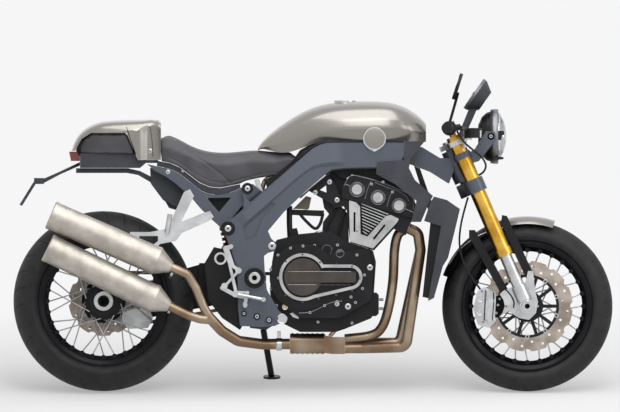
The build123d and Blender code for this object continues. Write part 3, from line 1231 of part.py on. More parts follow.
with BuildPart() as rider_hanger_right:
    outer = RIDER_INNER + HANGER_WALL
    boss(RIDER_LOOP_PIXELS, RIDER_LOOP_RADIUS, RIDER_INNER, outer)
    boss(
        RIDER_LOOP_PIXELS,
        RIDER_LOOP_RADIUS - RIDER_LOOP_WALL,
        RIDER_INNER - OVERRUN,
        outer + OVERRUN,
        Mode.SUBTRACT,
    )
    for start, end, radius in RIDER_LINKS:
        link(start, end, radius, RIDER_INNER, outer)
    boss(PEDAL_STOP_PIXELS, PEG_RADIUS, RIDER_INNER, outer + BOLT_HEAD)
    boss(PEG_PIXELS, PEG_RADIUS, RIDER_INNER, PEG_END)
    boss(PEDAL_PIVOT_PIXELS, PEG_RADIUS, outer, PEDAL_OUT + PEG_RADIUS)
    bar(place(PEDAL_PIVOT_PIXELS, PEDAL_OUT), place(PEDAL_TIP_PIXELS, PEDAL_OUT), LEVER_RADIUS)
    boss(PEDAL_TIP_PIXELS, LEVER_RADIUS + OVERRUN, PEDAL_OUT - LEVER_RADIUS - OVERRUN, TOE_OUT)
    for pixel in RIDER_BOLTS_PIXELS:
        boss(pixel, BOLT_RADIUS, SPAR_OUTER + SEAT_GAP, outer + BOLT_HEAD)
keep("rider_hanger_right", rider_hanger_right.part)

LEFT_HANGER_OUTER = CHAIN_INNER - BOLT_HEAD - OVERRUN
LEFT_HANGER_INNER = SPAR_OUTER + SEAT_GAP
LEFT_HANGER_PIXELS = (
    (224, 243), (232, 245), (238, 256), (238, 290), (247, 300), (247, 308), (240, 309), (226, 294),
    (219, 281), (222, 270), (216, 258),
)

with BuildPart() as rider_hanger_left:
    slab(LEFT_HANGER_PIXELS, -LEFT_HANGER_OUTER, -LEFT_HANGER_INNER, OVERRUN)
    boss(PEG_PIXELS, PEG_RADIUS, -PEG_END, -LEFT_HANGER_OUTER)
    boss(PEG_PIXELS, PEG_RADIUS + LEVER_RADIUS, -LEFT_LEVER_OUT - PEG_RADIUS, -LEFT_LEVER_OUT + PEG_RADIUS - OVERRUN)
    bar(place(PEG_PIXELS, -LEFT_LEVER_OUT), place(PEDAL_TIP_PIXELS, -LEFT_LEVER_OUT), LEVER_RADIUS)
    boss(PEDAL_TIP_PIXELS, LEVER_RADIUS + OVERRUN, -TOE_OUT, -LEFT_LEVER_OUT + LEVER_RADIUS + OVERRUN)
keep("rider_hanger_left", rider_hanger_left.part)

# Steering: clamps, fork legs and all that turns with them
FORK_HALF = 105
OUTER_TUBE_RADIUS = 27.5
STANCHION_RADIUS = 21.5
CLAMP_WALL = 9
LOWER_CLAMP_UP = 438
LOWER_CLAMP_HEIGHT = 48
UPPER_CLAMP_UP = 618
UPPER_CLAMP_HEIGHT = 18
OUTER_TUBE_LOW = 195
OUTER_TUBE_TOP = 652
CAP_NUT_RADIUS = 12
CAP_NUT_HEIGHT = 10
SLEEVE_RADIUS = 31
SLEEVE_HEIGHT = 26
BAR_PIXELS = (451, 128.5)
BAR_RADIUS = 11
BAR_END_PIXELS = (447, 128)
BAR_BEND_OUT = 150
BAR_END_OUT = 362
BAR_BEND = 60
RISER_OUT = 45
RISER_RADIUS = 18
RISER_TOP = 703
RISER_AHEAD = 5
STEM_NUT_RADIUS = 17
STEM_NUT_HEIGHT = 8


def clamp_sketch(up, wall):
    """The plan of a fork clamp: the stem and both legs joined by straight edges."""
    with BuildSketch(fork_plane(up)) as plan:
        with Locations((0, FORK_HALF), (0, -FORK_HALF)):
            Circle(OUTER_TUBE_RADIUS + wall)
        with Locations((-FORK_OFFSET, 0)):
            Circle(HEAD_RADIUS)
        make_hull()
        with Locations((0, FORK_HALF), (0, -FORK_HALF)):
            Circle(OUTER_TUBE_RADIUS + SEAT_GAP, mode=Mode.SUBTRACT)
    return plan.sketch


lower_plan = clamp_sketch(LOWER_CLAMP_UP, CLAMP_WALL)
upper_plan = clamp_sketch(UPPER_CLAMP_UP, CLAMP_WALL)

with BuildPart() as lower_clamp:
    extrude(lower_plan, amount=LOWER_CLAMP_HEIGHT)
    stem_low = LOWER_CLAMP_UP + LOWER_CLAMP_HEIGHT
    stem_length = UPPER_CLAMP_UP - SEAT_GAP - stem_low
    disc(fork_place(stem_low, 0, -FORK_OFFSET), UP_THE_FORK, STEM_RADIUS, stem_length)
keep("lower_clamp", lower_clamp.part)

with BuildPart() as upper_clamp:
    extrude(upper_plan, amount=UPPER_CLAMP_HEIGHT)
    top = UPPER_CLAMP_UP + UPPER_CLAMP_HEIGHT
    disc(fork_place(top, 0, -FORK_OFFSET), UP_THE_FORK, STEM_NUT_RADIUS, STEM_NUT_HEIGHT)
    for out in (RISER_OUT, -RISER_OUT):
        disc(fork_place(top, out, RISER_AHEAD), UP_THE_FORK, RISER_RADIUS, RISER_TOP - top)
    boss(BAR_PIXELS, BAR_RADIUS + SEAT_GAP, -BAR_BEND_OUT, BAR_BEND_OUT, Mode.SUBTRACT)
keep("upper_clamp", upper_clamp.part)

with BuildPart() as fork_outers:
    for out in (FORK_HALF, -FORK_HALF):
        disc(fork_place(OUTER_TUBE_LOW, out), UP_THE_FORK, OUTER_TUBE_RADIUS, OUTER_TUBE_TOP - OUTER_TUBE_LOW)
        disc(fork_place(OUTER_TUBE_LOW, out), UP_THE_FORK, SLEEVE_RADIUS, SLEEVE_HEIGHT)
        disc(fork_place(OUTER_TUBE_TOP, out), UP_THE_FORK, CAP_NUT_RADIUS, CAP_NUT_HEIGHT)
keep("fork_outers", fork_outers.part)

CARRIER_INNER = 84
CARRIER_OUTER_OUT = 128
CARRIER_BOSS_RADIUS = 26
CARRIER_SLEEVE_RADIUS = 27
CARRIER_SLEEVE_LOW = 22
CARRIER_SLEEVE_TOP = 78
CARRIER_PLATE_OUTER = 100
CARRIER_PIXELS = (
    (503, 291), (514, 286), (525, 284), (528, 271), (533, 271), (535, 290), (538, 302), (536, 313),
    (529, 320), (519, 318), (508, 311), (498, 318), (489, 323), (485, 317), (491, 303),
)

with BuildPart() as fork_inners:
    for out in (FORK_HALF, -FORK_HALF):
        disc(
            fork_place(CARRIER_SLEEVE_LOW, out),
            UP_THE_FORK,
            STANCHION_RADIUS,
            OUTER_TUBE_LOW - SEAT_GAP - CARRIER_SLEEVE_LOW,
        )
        sleeve_length = CARRIER_SLEEVE_TOP - CARRIER_SLEEVE_LOW
        disc(fork_place(CARRIER_SLEEVE_LOW, out), UP_THE_FORK, CARRIER_SLEEVE_RADIUS, sleeve_length)
    slab_pair(CARRIER_PIXELS, CARRIER_INNER, CARRIER_PLATE_OUTER, OVERRUN)
    for inner in (CARRIER_INNER, -CARRIER_OUTER_OUT):
        width = CARRIER_OUTER_OUT - CARRIER_INNER
        disc(FRONT_AXLE + RIGHT * inner, RIGHT, CARRIER_BOSS_RADIUS, width)
    disc(
        FRONT_AXLE - RIGHT * (CARRIER_OUTER_OUT + OVERRUN),
        RIGHT,
        AXLE_RADIUS + SEAT_GAP,
        2 * (CARRIER_OUTER_OUT + OVERRUN),
        Mode.SUBTRACT,
    )
keep("fork_inners", fork_inners.part)

SPACER_RADIUS = 18
AXLE_END = 132

with BuildPart() as front_axle:
    disc(FRONT_AXLE - RIGHT * AXLE_END, RIGHT, AXLE_RADIUS, 2 * AXLE_END)
    spacer_start = FRONT_HUB_HALF + RUNNING_GAP
    spacer_length = CARRIER_INNER - SEAT_GAP - spacer_start
    disc(FRONT_AXLE + RIGHT * spacer_start, RIGHT, SPACER_RADIUS, spacer_length)
    disc(FRONT_AXLE - RIGHT * spacer_start, -RIGHT, SPACER_RADIUS, spacer_length)
    disc(FRONT_AXLE - RIGHT * (AXLE_END + OVERRUN), RIGHT, AXLE_BORE, 2 * (AXLE_END + OVERRUN), Mode.SUBTRACT)
keep("front_axle", front_axle.part)

CALIPER_INNER = 44
CALIPER_PIXELS = ((477, 292), (484, 287), (495, 291), (499, 304), (496, 321), (489, 328), (478, 325), (473, 309))

with BuildPart() as front_calipers:
    slab_pair(CALIPER_PIXELS, CALIPER_INNER, CARRIER_INNER - SEAT_GAP, SPAR_CORNER)
    for start in (CARRIER_OUT - BRAKE_GAP, -CARRIER_OUT - CARRIER_WALL - BRAKE_GAP):
        disc(
            FRONT_AXLE + RIGHT * start,
            RIGHT,
            DISC_OUTER + BRAKE_GAP,
            CARRIER_WALL + 2 * BRAKE_GAP,
            Mode.SUBTRACT,
        )
keep("front_calipers", front_calipers.part)

GUARD_CLEAR = 17
GUARD_DROP = 27
GUARD_RADIUS = FRONT_RADIUS + GUARD_CLEAR
GUARD_EDGE_RADIUS = GUARD_RADIUS - GUARD_DROP
GUARD_HALF = 66
GUARD_WALL = 3
GUARD_REAR_ANGLE = 70
GUARD_ARC = 88
STAY_INNER = 71
STAY_WALL = 4
FRONT_STAY_PIXELS = ((502, 215), (507, 216), (533, 273), (533, 280), (527, 280), (501, 223))
REAR_STAY_PIXELS = ((469, 230), (475, 230), (509, 291), (509, 298), (503, 297), (469, 237))
STAY_KNOBS_PIXELS = ((506, 226.5), (477.5, 239))
STAY_FEET_PIXELS = ((530, 276.5), (506, 294))

with BuildPart() as front_mudguard:
    rear_angle = radians(GUARD_REAR_ANGLE)
    guard_way = Vector(cos(rear_angle), 0, sin(rear_angle))
    with BuildSketch(Plane(origin=FRONT_AXLE, x_dir=(0, 1, 0), z_dir=guard_way)) as guard_section:
        with BuildLine():
            ThreePointArc((-GUARD_HALF, GUARD_EDGE_RADIUS), (0, GUARD_RADIUS), (GUARD_HALF, GUARD_EDGE_RADIUS))
            Line((GUARD_HALF, GUARD_EDGE_RADIUS), (GUARD_HALF - GUARD_WALL, GUARD_EDGE_RADIUS))
            ThreePointArc(
                (GUARD_HALF - GUARD_WALL, GUARD_EDGE_RADIUS),
                (0, GUARD_RADIUS - GUARD_WALL),
                (GUARD_WALL - GUARD_HALF, GUARD_EDGE_RADIUS),
            )
            Line((GUARD_WALL - GUARD_HALF, GUARD_EDGE_RADIUS), (-GUARD_HALF, GUARD_EDGE_RADIUS))
        make_face()
    revolve(guard_section.sketch, axis=Axis(FRONT_AXLE, (0, 1, 0)), revolution_arc=GUARD_ARC)
    stay_outer = STAY_INNER + STAY_WALL
    slab_pair(FRONT_STAY_PIXELS, STAY_INNER, stay_outer)
    slab_pair(REAR_STAY_PIXELS, STAY_INNER, stay_outer)
    for pixel in STAY_KNOBS_PIXELS:
        boss(pixel, BOLT_RADIUS, GUARD_HALF - 2 * GUARD_WALL, stay_outer)
        boss(pixel, BOLT_RADIUS, -stay_outer, 2 * GUARD_WALL - GUARD_HALF)
    for pixel in STAY_FEET_PIXELS:
        boss(pixel, LEVER_RADIUS, stay_outer, CARRIER_INNER - SEAT_GAP)
        boss(pixel, LEVER_RADIUS, SEAT_GAP - CARRIER_INNER, -stay_outer)
keep("front_mudguard", front_mudguard.part)

with BuildPart() as handlebar:
    tube(
        [
            place(BAR_END_PIXELS, -BAR_END_OUT),
            place(BAR_PIXELS, -BAR_BEND_OUT),
            place(BAR_PIXELS, BAR_BEND_OUT),
            place(BAR_END_PIXELS, BAR_END_OUT),
        ],
        BAR_BEND,
        BAR_RADIUS,
    )
keep("handlebar", handlebar.part)

GRIP_RADIUS = 17
GRIP_INNER = 238
GRIP_OUTER = 356
GRIP_FLANGE_RADIUS = 26
GRIP_FLANGE = 6
BAR_WEIGHT_RADIUS = 19
BAR_WEIGHT = 12
SWITCH_INNER = 204
SWITCH_OUTER = 230
SWITCH_RADIUS = 23
LEVER_PERCH_PIXELS = (460.5, 127)
BLADE_PIXELS = ((461, 127), (465, 128.5), (461, 129.5))
BLADE_OUTS = (214, 250, 352)
BLADE_RADIUS = 5.5
BLADE_BEND = 25


def along_bar(out, side):
    """A point on the outer stretch of the handlebar at a distance out from the middle."""
    share = (out - BAR_BEND_OUT) / (BAR_END_OUT - BAR_BEND_OUT)
    inner = place(BAR_PIXELS, side * BAR_BEND_OUT)
    outer = place(BAR_END_PIXELS, side * BAR_END_OUT)
    return inner + (outer - inner) * share


with BuildPart() as grips:
    for side in (1, -1):
        bar(along_bar(GRIP_INNER, side), along_bar(GRIP_OUTER, side), GRIP_RADIUS)
        bar(along_bar(GRIP_INNER, side), along_bar(GRIP_INNER + GRIP_FLANGE, side), GRIP_FLANGE_RADIUS)
        bar(
            along_bar(GRIP_INNER - OVERRUN, side),
            along_bar(GRIP_OUTER + OVERRUN, side),
            BAR_RADIUS + SEAT_GAP,
            Mode.SUBTRACT,
        )
keep("grips", grips.part)

with BuildPart() as bar_weights:
    for side in (1, -1):
        start = BAR_END_OUT + SEAT_GAP
        bar(along_bar(start, side), along_bar(start + BAR_WEIGHT, side), BAR_WEIGHT_RADIUS)
keep("handlebar", bar_weights.part)

RESERVOIR_PIXELS = (472, 138)
RESERVOIR_OUT = 168
RESERVOIR_RADIUS = 28
RESERVOIR_HEIGHT = 30
RESERVOIR_LID = 6
RESERVOIR_ARM_PIXELS = (461, 134)

with BuildPart() as hand_controls:
    for side in (1, -1):
        bar(along_bar(SWITCH_INNER, side), along_bar(SWITCH_OUTER, side), SWITCH_RADIUS)
        perch = place(LEVER_PERCH_PIXELS, side * BLADE_OUTS[0])
        bar(along_bar(SWITCH_INNER + SWITCH_RADIUS / 2, side), perch, BAR_RADIUS)
        tube([place(pixel, side * out) for pixel, out in zip(BLADE_PIXELS, BLADE_OUTS)], BLADE_BEND, BLADE_RADIUS)
        bar(
            along_bar(SWITCH_INNER - OVERRUN, side),
            along_bar(SWITCH_OUTER + OVERRUN, side),
            BAR_RADIUS + SEAT_GAP,
            Mode.SUBTRACT,
        )
    disc(place(RESERVOIR_PIXELS, RESERVOIR_OUT), (0, 0, 1), RESERVOIR_RADIUS, RESERVOIR_HEIGHT)
    bar(
        place(LEVER_PERCH_PIXELS, BLADE_OUTS[0]),
        place(RESERVOIR_PIXELS, RESERVOIR_OUT) + Vector(0, 0, RESERVOIR_HEIGHT / 2),
        BLADE_RADIUS,
    )
keep("hand_controls", hand_controls.part)

# Brake hoses: one from the lever to the lower clamp, then one down to each caliper
HOSE_RADIUS = 3.5
HOSE_ARC_SHARE = 0.45
UPPER_HOSE_PIXELS = (
    (457, 131.3), (463.5, 142), (473, 150), (482.5, 157.5), (486.5, 165.5), (484, 172), (477, 176.4),
)
UPPER_HOSE_OUTS = (213, 184, 154, 130, 114, 96, 80)
LOWER_HOSE_PIXELS = (
    (468, 197.4), (464, 211), (460.5, 226), (459, 242), (461.5, 258.5), (469.7, 275), (480.43, 289.4),
)
LOWER_HOSE_OUTS = (60, 68, 80, 84, 84, 78, 78)


def hose(pixels, outs):
    """A round hose through points of the view. Its arcs are as large as the runs beside them allow."""
    points = [place(pixel, out) for pixel, out in zip(pixels, outs)]
    runs = [end - start for start, end in zip(points, points[1:])]
    radii = []
    for before, after in zip(runs, runs[1:]):
        half_turn = radians(before.get_angle(after)) / 2
        radii.append(HOSE_ARC_SHARE * min(before.length, after.length) / tan(half_turn))
    print("hose radii", [round(radius, 1) for radius in radii])
    tube(points, radii, HOSE_RADIUS)


with BuildPart() as brake_hoses:
    hose(UPPER_HOSE_PIXELS, UPPER_HOSE_OUTS)
    hose(LOWER_HOSE_PIXELS, LOWER_HOSE_OUTS)
    hose(LOWER_HOSE_PIXELS, [-out for out in LOWER_HOSE_OUTS])
keep("brake_hoses", brake_hoses.part)

MIRROR_PIXELS = (457.5, 86.5)
MIRROR_OUT = 262
MIRROR_RADIUS = 48
MIRROR_WALL = 12
MIRROR_TILT = 18
MIRROR_ARM_PIXELS = ((450, 121.4), (455, 104), (458, 93))
MIRROR_ARM_OUTS = (217, 224, 250)
MIRROR_ARM_RADIUS = 5

with BuildPart() as mirrors:
    mirror_way = Vector(cos(radians(MIRROR_TILT)), 0, -sin(radians(MIRROR_TILT)))
    for side in (1, -1):
        mirror_back = place(MIRROR_PIXELS, side * MIRROR_OUT) - mirror_way * (MIRROR_WALL / 2)
        disc(mirror_back, mirror_way, MIRROR_RADIUS, MIRROR_WALL)
        points = [place(pixel, side * out) for pixel, out in zip(MIRROR_ARM_PIXELS, MIRROR_ARM_OUTS)]
        tube(points, BLADE_BEND, MIRROR_ARM_RADIUS)
keep("mirrors", mirrors.part)

LAMP_FACE_PIXELS = (498, 136.5)
LAMP_RADIUS = 95
LAMP_RIM_WIDTH = 26
LAMP_SHELL_SHARES = (
    (0.0, 0.0), (0.0, 0.42), (0.18, 0.72), (0.42, 0.88), (0.62, 0.93), (0.62, 1.0), (1.0, 1.0), (1.0, 0.0),
)
LAMP_DEPTH = 70
LENS_RADIUS = 88
LENS_BULGE = 30
LENS_TIP = 3
SAG_SHARE = 0.76
EAR_GAP = 1
EAR_INNER = LAMP_RADIUS + EAR_GAP
EAR_WALL = 6
EAR_PIXELS = ((486, 131), (495, 132), (496, 140), (479, 161), (464, 166), (462, 155), (474, 150))
EAR_RING_UP = 566
EAR_RING_HEIGHT = 22
EAR_RING_WALL = 5

with BuildPart() as headlamp:
    lamp_back = place(LAMP_FACE_PIXELS, 0) - Vector(LAMP_DEPTH, 0, 0)
    with BuildSketch(Plane(origin=lamp_back, x_dir=(1, 0, 0), z_dir=RIGHT)) as lamp_profile:
        with BuildLine():
            Polyline(*[(LAMP_DEPTH * a, LAMP_RADIUS * b) for a, b in LAMP_SHELL_SHARES], close=True)
        make_face()
    revolve(lamp_profile.sketch, axis=Axis(lamp_back, (1, 0, 0)))
keep("headlamp", headlamp.part)

with BuildPart() as headlamp_lens:
    lens_base = place(LAMP_FACE_PIXELS, 0) + Vector(SEAT_GAP, 0, 0)
    with BuildSketch(Plane(origin=lens_base, x_dir=(1, 0, 0), z_dir=RIGHT)) as lens_profile:
        with BuildLine():
            Polyline((LENS_BULGE, LENS_TIP), (LENS_BULGE, 0), (0, 0), (0, LENS_RADIUS))
            ThreePointArc((0, LENS_RADIUS), (LENS_BULGE * SAG_SHARE, LENS_RADIUS / 2), (LENS_BULGE, LENS_TIP))
        make_face()
    revolve(lens_profile.sketch, axis=Axis(lens_base, (1, 0, 0)))
keep("headlamp_lens", headlamp_lens.part)

with BuildPart() as headlamp_ears:
    slab_pair(EAR_PIXELS, EAR_INNER, EAR_INNER + EAR_WALL)
    with BuildSketch(fork_plane(EAR_RING_UP)) as rings:
        with Locations((0, FORK_HALF), (0, -FORK_HALF)):
            Circle(OUTER_TUBE_RADIUS + EAR_RING_WALL)
    extrude(rings.sketch, amount=EAR_RING_HEIGHT)
    for out in (FORK_HALF, -FORK_HALF):
        low = LOWER_CLAMP_UP + LOWER_CLAMP_HEIGHT
        disc(fork_place(low, out), UP_THE_FORK, OUTER_TUBE_RADIUS + SEAT_GAP, UPPER_CLAMP_UP - low, Mode.SUBTRACT)
keep("lower_clamp", headlamp_ears.part)

DIAL_FACE_PIXELS = (474, 93.5)
DIAL_TILT = 35
DIAL_WAY = Vector(-cos(radians(DIAL_TILT)), 0, sin(radians(DIAL_TILT)))
DIAL_RADIUS = 62
DIAL_BACK_SHARE = 0.62
DIAL_DEPTH = 48
DIAL_RIM = 12
DIAL_BRACKET_HALF = 22
DIAL_BRACKET_PIXELS = ((456.2, 140.1), (464.9, 136.3), (478, 107), (470, 106))

with BuildPart() as instruments:
    dial_face = place(DIAL_FACE_PIXELS, 0)
    with BuildSketch(Plane(origin=dial_face, x_dir=DIAL_WAY, z_dir=RIGHT)) as dial_profile:
        with BuildLine():
            Polyline(
                (0, 0),
                (0, DIAL_RADIUS),
                (-DIAL_RIM, DIAL_RADIUS),
                (-DIAL_DEPTH, DIAL_RADIUS * DIAL_BACK_SHARE),
                (-DIAL_DEPTH, 0),
                close=True,
            )
        make_face()
    revolve(dial_profile.sketch, axis=Axis(dial_face, DIAL_WAY))
    slab(DIAL_BRACKET_PIXELS, -DIAL_BRACKET_HALF, DIAL_BRACKET_HALF)
keep("instruments", instruments.part)

# Side stand on the left: the leg swings back and up about a tilted pin
STAND_PIXELS = (262, 322)
STAND_OUT = 178
STAND_WAY_SHARES = (0.157, 0.426, -0.892)
STAND_TUCKED_SHARES = (-0.985, 0.10, -0.12)
STAND_WAY = Vector(*STAND_WAY_SHARES).normalized()
STAND_TUCKED = Vector(*STAND_TUCKED_SHARES).normalized()
STAND_AXIS = STAND_WAY.cross(STAND_TUCKED).normalized()
STAND_TRAVEL = STAND_WAY.get_angle(STAND_TUCKED)
STAND_EYE_RADIUS = 20
STAND_EYE_HALF = 7
STAND_LEG_RADIUS = 11
STAND_PIN_RADIUS = 6
STAND_PIN_HEAD = 10
STAND_FOOT_RADIUS = 30
STAND_FOOT_WALL = 7
BRACKET_BOSS_LENGTH = 14
BRACKET_PIXELS = ((248, 314), (273, 314), (274, 325), (266, 330), (250, 328))
BRACKET_INNER = SPAR_OUTER + BOLT_HEAD + SEAT_GAP
BRACKET_WALL = 10
BRACKET_OUTER = BRACKET_INNER + BRACKET_WALL

FLOOR_WAY = Vector(0, 0, 1).rotate(Axis.X, LEAN)
FLOOR_DROP = -crown_radius(FRONT_WIDTH, FRONT_CROWN_DROP) * (1 - cos(radians(LEAN)))
STAND_PIVOT = place(STAND_PIXELS, -STAND_OUT)
STAND_REACH = (FLOOR_DROP - FLOOR_WAY.dot(STAND_PIVOT)) / FLOOR_WAY.dot(STAND_WAY)
STAND_FOOT = STAND_PIVOT + STAND_WAY * STAND_REACH

with BuildPart() as side_stand:
    disc(STAND_PIVOT - STAND_AXIS * STAND_EYE_HALF, STAND_AXIS, STAND_EYE_RADIUS, 2 * STAND_EYE_HALF)
    neck_end = STAND_PIVOT + STAND_WAY * (STAND_EYE_RADIUS + 2 * STAND_LEG_RADIUS)
    bar(STAND_PIVOT + STAND_WAY * (STAND_EYE_RADIUS / 2 + OVERRUN), neck_end, STAND_EYE_HALF - SEAT_GAP)
    leg_start = STAND_PIVOT + STAND_WAY * (STAND_EYE_RADIUS + STAND_LEG_RADIUS)
    bar(leg_start, STAND_FOOT - STAND_WAY * (STAND_LEG_RADIUS / 2), STAND_LEG_RADIUS)
    disc(STAND_FOOT, FLOOR_WAY, STAND_FOOT_RADIUS, STAND_FOOT_WALL)
    disc(
        STAND_PIVOT - STAND_AXIS * (STAND_EYE_HALF + OVERRUN + STAND_LEG_RADIUS),
        STAND_AXIS,
        STAND_PIN_RADIUS + RUNNING_GAP,
        2 * (STAND_EYE_HALF + OVERRUN + STAND_LEG_RADIUS),
        Mode.SUBTRACT,
    )
keep("side_stand", side_stand.part)

with BuildPart() as stand_bracket:
    slab(BRACKET_PIXELS, -BRACKET_OUTER, -BRACKET_INNER, OVERRUN)
    boss_face = STAND_PIVOT - STAND_AXIS * (STAND_EYE_HALF + SEAT_GAP + RUNNING_GAP)
    disc(boss_face, -STAND_AXIS, STAND_EYE_RADIUS - OVERRUN, BRACKET_BOSS_LENGTH)
    disc(boss_face, STAND_AXIS, STAND_PIN_RADIUS, 2 * STAND_EYE_HALF + 2 * OVERRUN)
    disc(
        STAND_PIVOT + STAND_AXIS * (STAND_EYE_HALF + RUNNING_GAP),
        STAND_AXIS,
        STAND_PIN_HEAD,
        BOLT_HEAD,
    )
keep("frame_members", stand_bracket.part)

landmarks = {
    "front_axle": FRONT_AXLE,
    "rear_axle": REAR_AXLE,
    "steering": fork_place(HEAD_LOW, 0, -FORK_OFFSET),
    "stand_pivot": STAND_PIVOT,
    "pivot": place(PIVOT_PIXELS, 0),
    "front_axle_end": FRONT_AXLE + RIGHT * AXLE_END,
    "rear_axle_end": REAR_AXLE + RIGHT * REAR_NUT_OUT,
    "pivot_end": place(PIVOT_PIXELS, PIVOT_BOSS_OUT + PIVOT_HEAD),
}
directions = {
    "steering_axis": UP_THE_FORK,
    "axle_axis": (0, 1, 0),
    "stand_axis": STAND_AXIS,
}

# The upright pieces are leaned to the left and set down with the floor at zero
leaned = {}
for name, part in nodes.items():
    leaned[name] = part.rotate(Axis.X, -LEAN)

boxes = [part.bounding_box() for part in leaned.values()]
low = Vector(*[min(getattr(box.min, axis) for box in boxes) for axis in "XYZ"])
high = Vector(*[max(getattr(box.max, axis) for box in boxes) for axis in "XYZ"])
SET_DOWN = Vector(-(low.X + high.X) / 2, -(low.Y + high.Y) / 2, -low.Z)

os.makedirs("parts", exist_ok=True)
for name, part in leaned.items():
    stood = part.moved(Location(SET_DOWN))
    stood.label = name
    export_step(stood, f"parts/{name}.step")


def parked(point):
    """Where an upright point comes to be on the parked machine."""
    return Vector(*point).rotate(Axis.X, -LEAN) + SET_DOWN


for name, point in landmarks.items():
    print(name, [round(value, 3) for value in parked(point)])
for name, way in directions.items():
    print(name, [round(value, 6) for value in Vector(*way).rotate(Axis.X, -LEAN)])
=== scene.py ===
# %% [markdown]
# # A cafe racer on its side stand
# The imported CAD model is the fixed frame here: every metal piece already has its place.
# This script dresses it. It gives each piece the finish of the real one, and adds what CAD
# leaves out, such as tyre tread, stitched leather, bolts, seams and the reflector of the lamp.
# The machine leans ten degrees to its left, so new pieces are worked out upright, in the
# plane of the wheels, and one function leans them over.

import json
import math

import bpy
import numpy as np
from mathutils import Matrix, Vector
from mathutils.bvhtree import BVHTree

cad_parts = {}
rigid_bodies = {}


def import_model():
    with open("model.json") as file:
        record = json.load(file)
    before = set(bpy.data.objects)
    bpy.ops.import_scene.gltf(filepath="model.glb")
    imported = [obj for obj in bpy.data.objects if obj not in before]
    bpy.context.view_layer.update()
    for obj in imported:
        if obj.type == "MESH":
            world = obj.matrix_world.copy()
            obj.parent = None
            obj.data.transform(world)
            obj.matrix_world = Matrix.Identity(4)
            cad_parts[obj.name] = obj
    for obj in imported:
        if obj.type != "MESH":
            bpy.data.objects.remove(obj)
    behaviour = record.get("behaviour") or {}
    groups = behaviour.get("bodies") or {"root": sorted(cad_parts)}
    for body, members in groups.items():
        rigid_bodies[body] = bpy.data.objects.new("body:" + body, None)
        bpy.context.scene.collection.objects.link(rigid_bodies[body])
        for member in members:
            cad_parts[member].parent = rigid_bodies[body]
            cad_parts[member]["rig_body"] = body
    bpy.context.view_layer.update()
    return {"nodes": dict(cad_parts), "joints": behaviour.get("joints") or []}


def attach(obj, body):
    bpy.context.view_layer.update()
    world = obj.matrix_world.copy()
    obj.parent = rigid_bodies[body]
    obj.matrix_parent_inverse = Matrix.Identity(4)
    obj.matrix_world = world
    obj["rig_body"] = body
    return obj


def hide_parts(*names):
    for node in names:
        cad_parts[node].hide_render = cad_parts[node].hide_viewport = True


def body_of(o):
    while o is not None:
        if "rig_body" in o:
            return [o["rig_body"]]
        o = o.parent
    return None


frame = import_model()
nodes = frame["nodes"]

# %% [markdown]
# ## Upright coordinates
# The side view is measured in pixels of a square-on view, 3.523 mm each. The wheel joints of
# the record say where both axles are, which fixes the scale, the lean and the place of any
# point that is measured in that view. `out` is the distance from the middle plane to the right.

# %% From the side view to the leaning machine
joints = {joint["name"]: joint for joint in frame["joints"]}
REAR_AXLE = np.array(joints["rear_wheel_spin"]["pos_m"])
FRONT_AXLE = np.array(joints["front_wheel_spin"]["pos_m"])
LEFT = np.array(joints["rear_wheel_spin"]["axis"])
AHEAD = np.array([1.0, 0.0, 0.0])
UP = np.cross(AHEAD, LEFT)
REAR_COLUMN, FRONT_COLUMN, FLOOR_ROW = 103.5, 527.3, 391.3
PIXEL = (FRONT_AXLE[0] - REAR_AXLE[0]) / (FRONT_COLUMN - REAR_COLUMN)
FRONT_HEIGHT = 0.300
REAR_HEIGHT = FRONT_HEIGHT + float(np.dot(REAR_AXLE - FRONT_AXLE, UP))
print("one pixel is", round(PIXEL * 1000, 4), "mm, rear axle", round(REAR_HEIGHT, 4), "m up")


def park(points):
    """Upright x, y, z to the leaning machine: the rear axle plus x ahead, y left and z up."""
    points = np.asarray(points, float)
    x, y, z = points[..., 0:1], points[..., 1:2], points[..., 2:3]
    return REAR_AXLE + x * AHEAD + y * LEFT + (z - REAR_HEIGHT) * UP


def spot(px, py, out=0.0):
    """Upright point for a pixel of the side view, at a distance out to the right in metres."""
    return np.array([(px - REAR_COLUMN) * PIXEL, -out, (FLOOR_ROW - py) * PIXEL])


def spots(rows):
    """Upright points for rows of (column, row, distance out in millimetres)."""
    return np.array([spot(px, py, out / 1000) for px, py, out in rows])


# %% [markdown]
# ## Finishes
# One function turns hex colours to linear light and one adds a node. Each material is named
# for how the real surface was made, but for a black that paints shade in bores and a grey metal
# that paints highlights on edges. Pictures of surfaces would be quicker, but procedural patterns
# stay sharp at any distance. Object coordinates are in metres, so the scale of a pattern is the
# number of its cells in a metre: a grain of 0.5 mm has scale 2000.

# %% Colour and node helpers
# Cells in a metre: flakes and pits of 0.8 mm, leather pebbles of 1.6 mm, pipe grain of 1.1 mm,
# moulding skin of 1.4 mm, and slow clouds and bands from 33 mm up to 143 mm.
FLAKES, PITS, PEBBLES, PIPE_GRAIN, MOULD_SKIN = 1250.0, 1250.0, 625.0, 900.0, 700.0
BLOOM, MOTTLE, METAL_CLOUDS, LEATHER_WEAR, COAT_CLOUDS, TINT_BANDS = 30.0, 25.0, 20.0, 14.0, 12.0, 7.0


def linear(code):
    """sRGB hex to linear RGBA: the standard curve, a power of 2.4 above a short straight part."""
    values = [int(code[k : k + 2], 16) / 255 for k in (1, 3, 5)]
    return [v / 12.92 if v <= 0.04045 else ((v + 0.055) / 1.055) ** 2.4 for v in values] + [1.0]


def node(tree, kind, settings=None, **inputs):
    """Add a node; an input is a value, or a link when it is another node's output socket."""
    made = tree.nodes.new(kind)
    for key, value in (settings or {}).items():
        setattr(made, key, value)
    for key, value in inputs.items():
        socket = made.inputs[int(key[1:]) if key[1:].isdigit() else key.replace("_", " ")]
        if isinstance(value, bpy.types.NodeSocket):
            tree.links.new(value, socket)
        else:
            socket.default_value = value
    return made


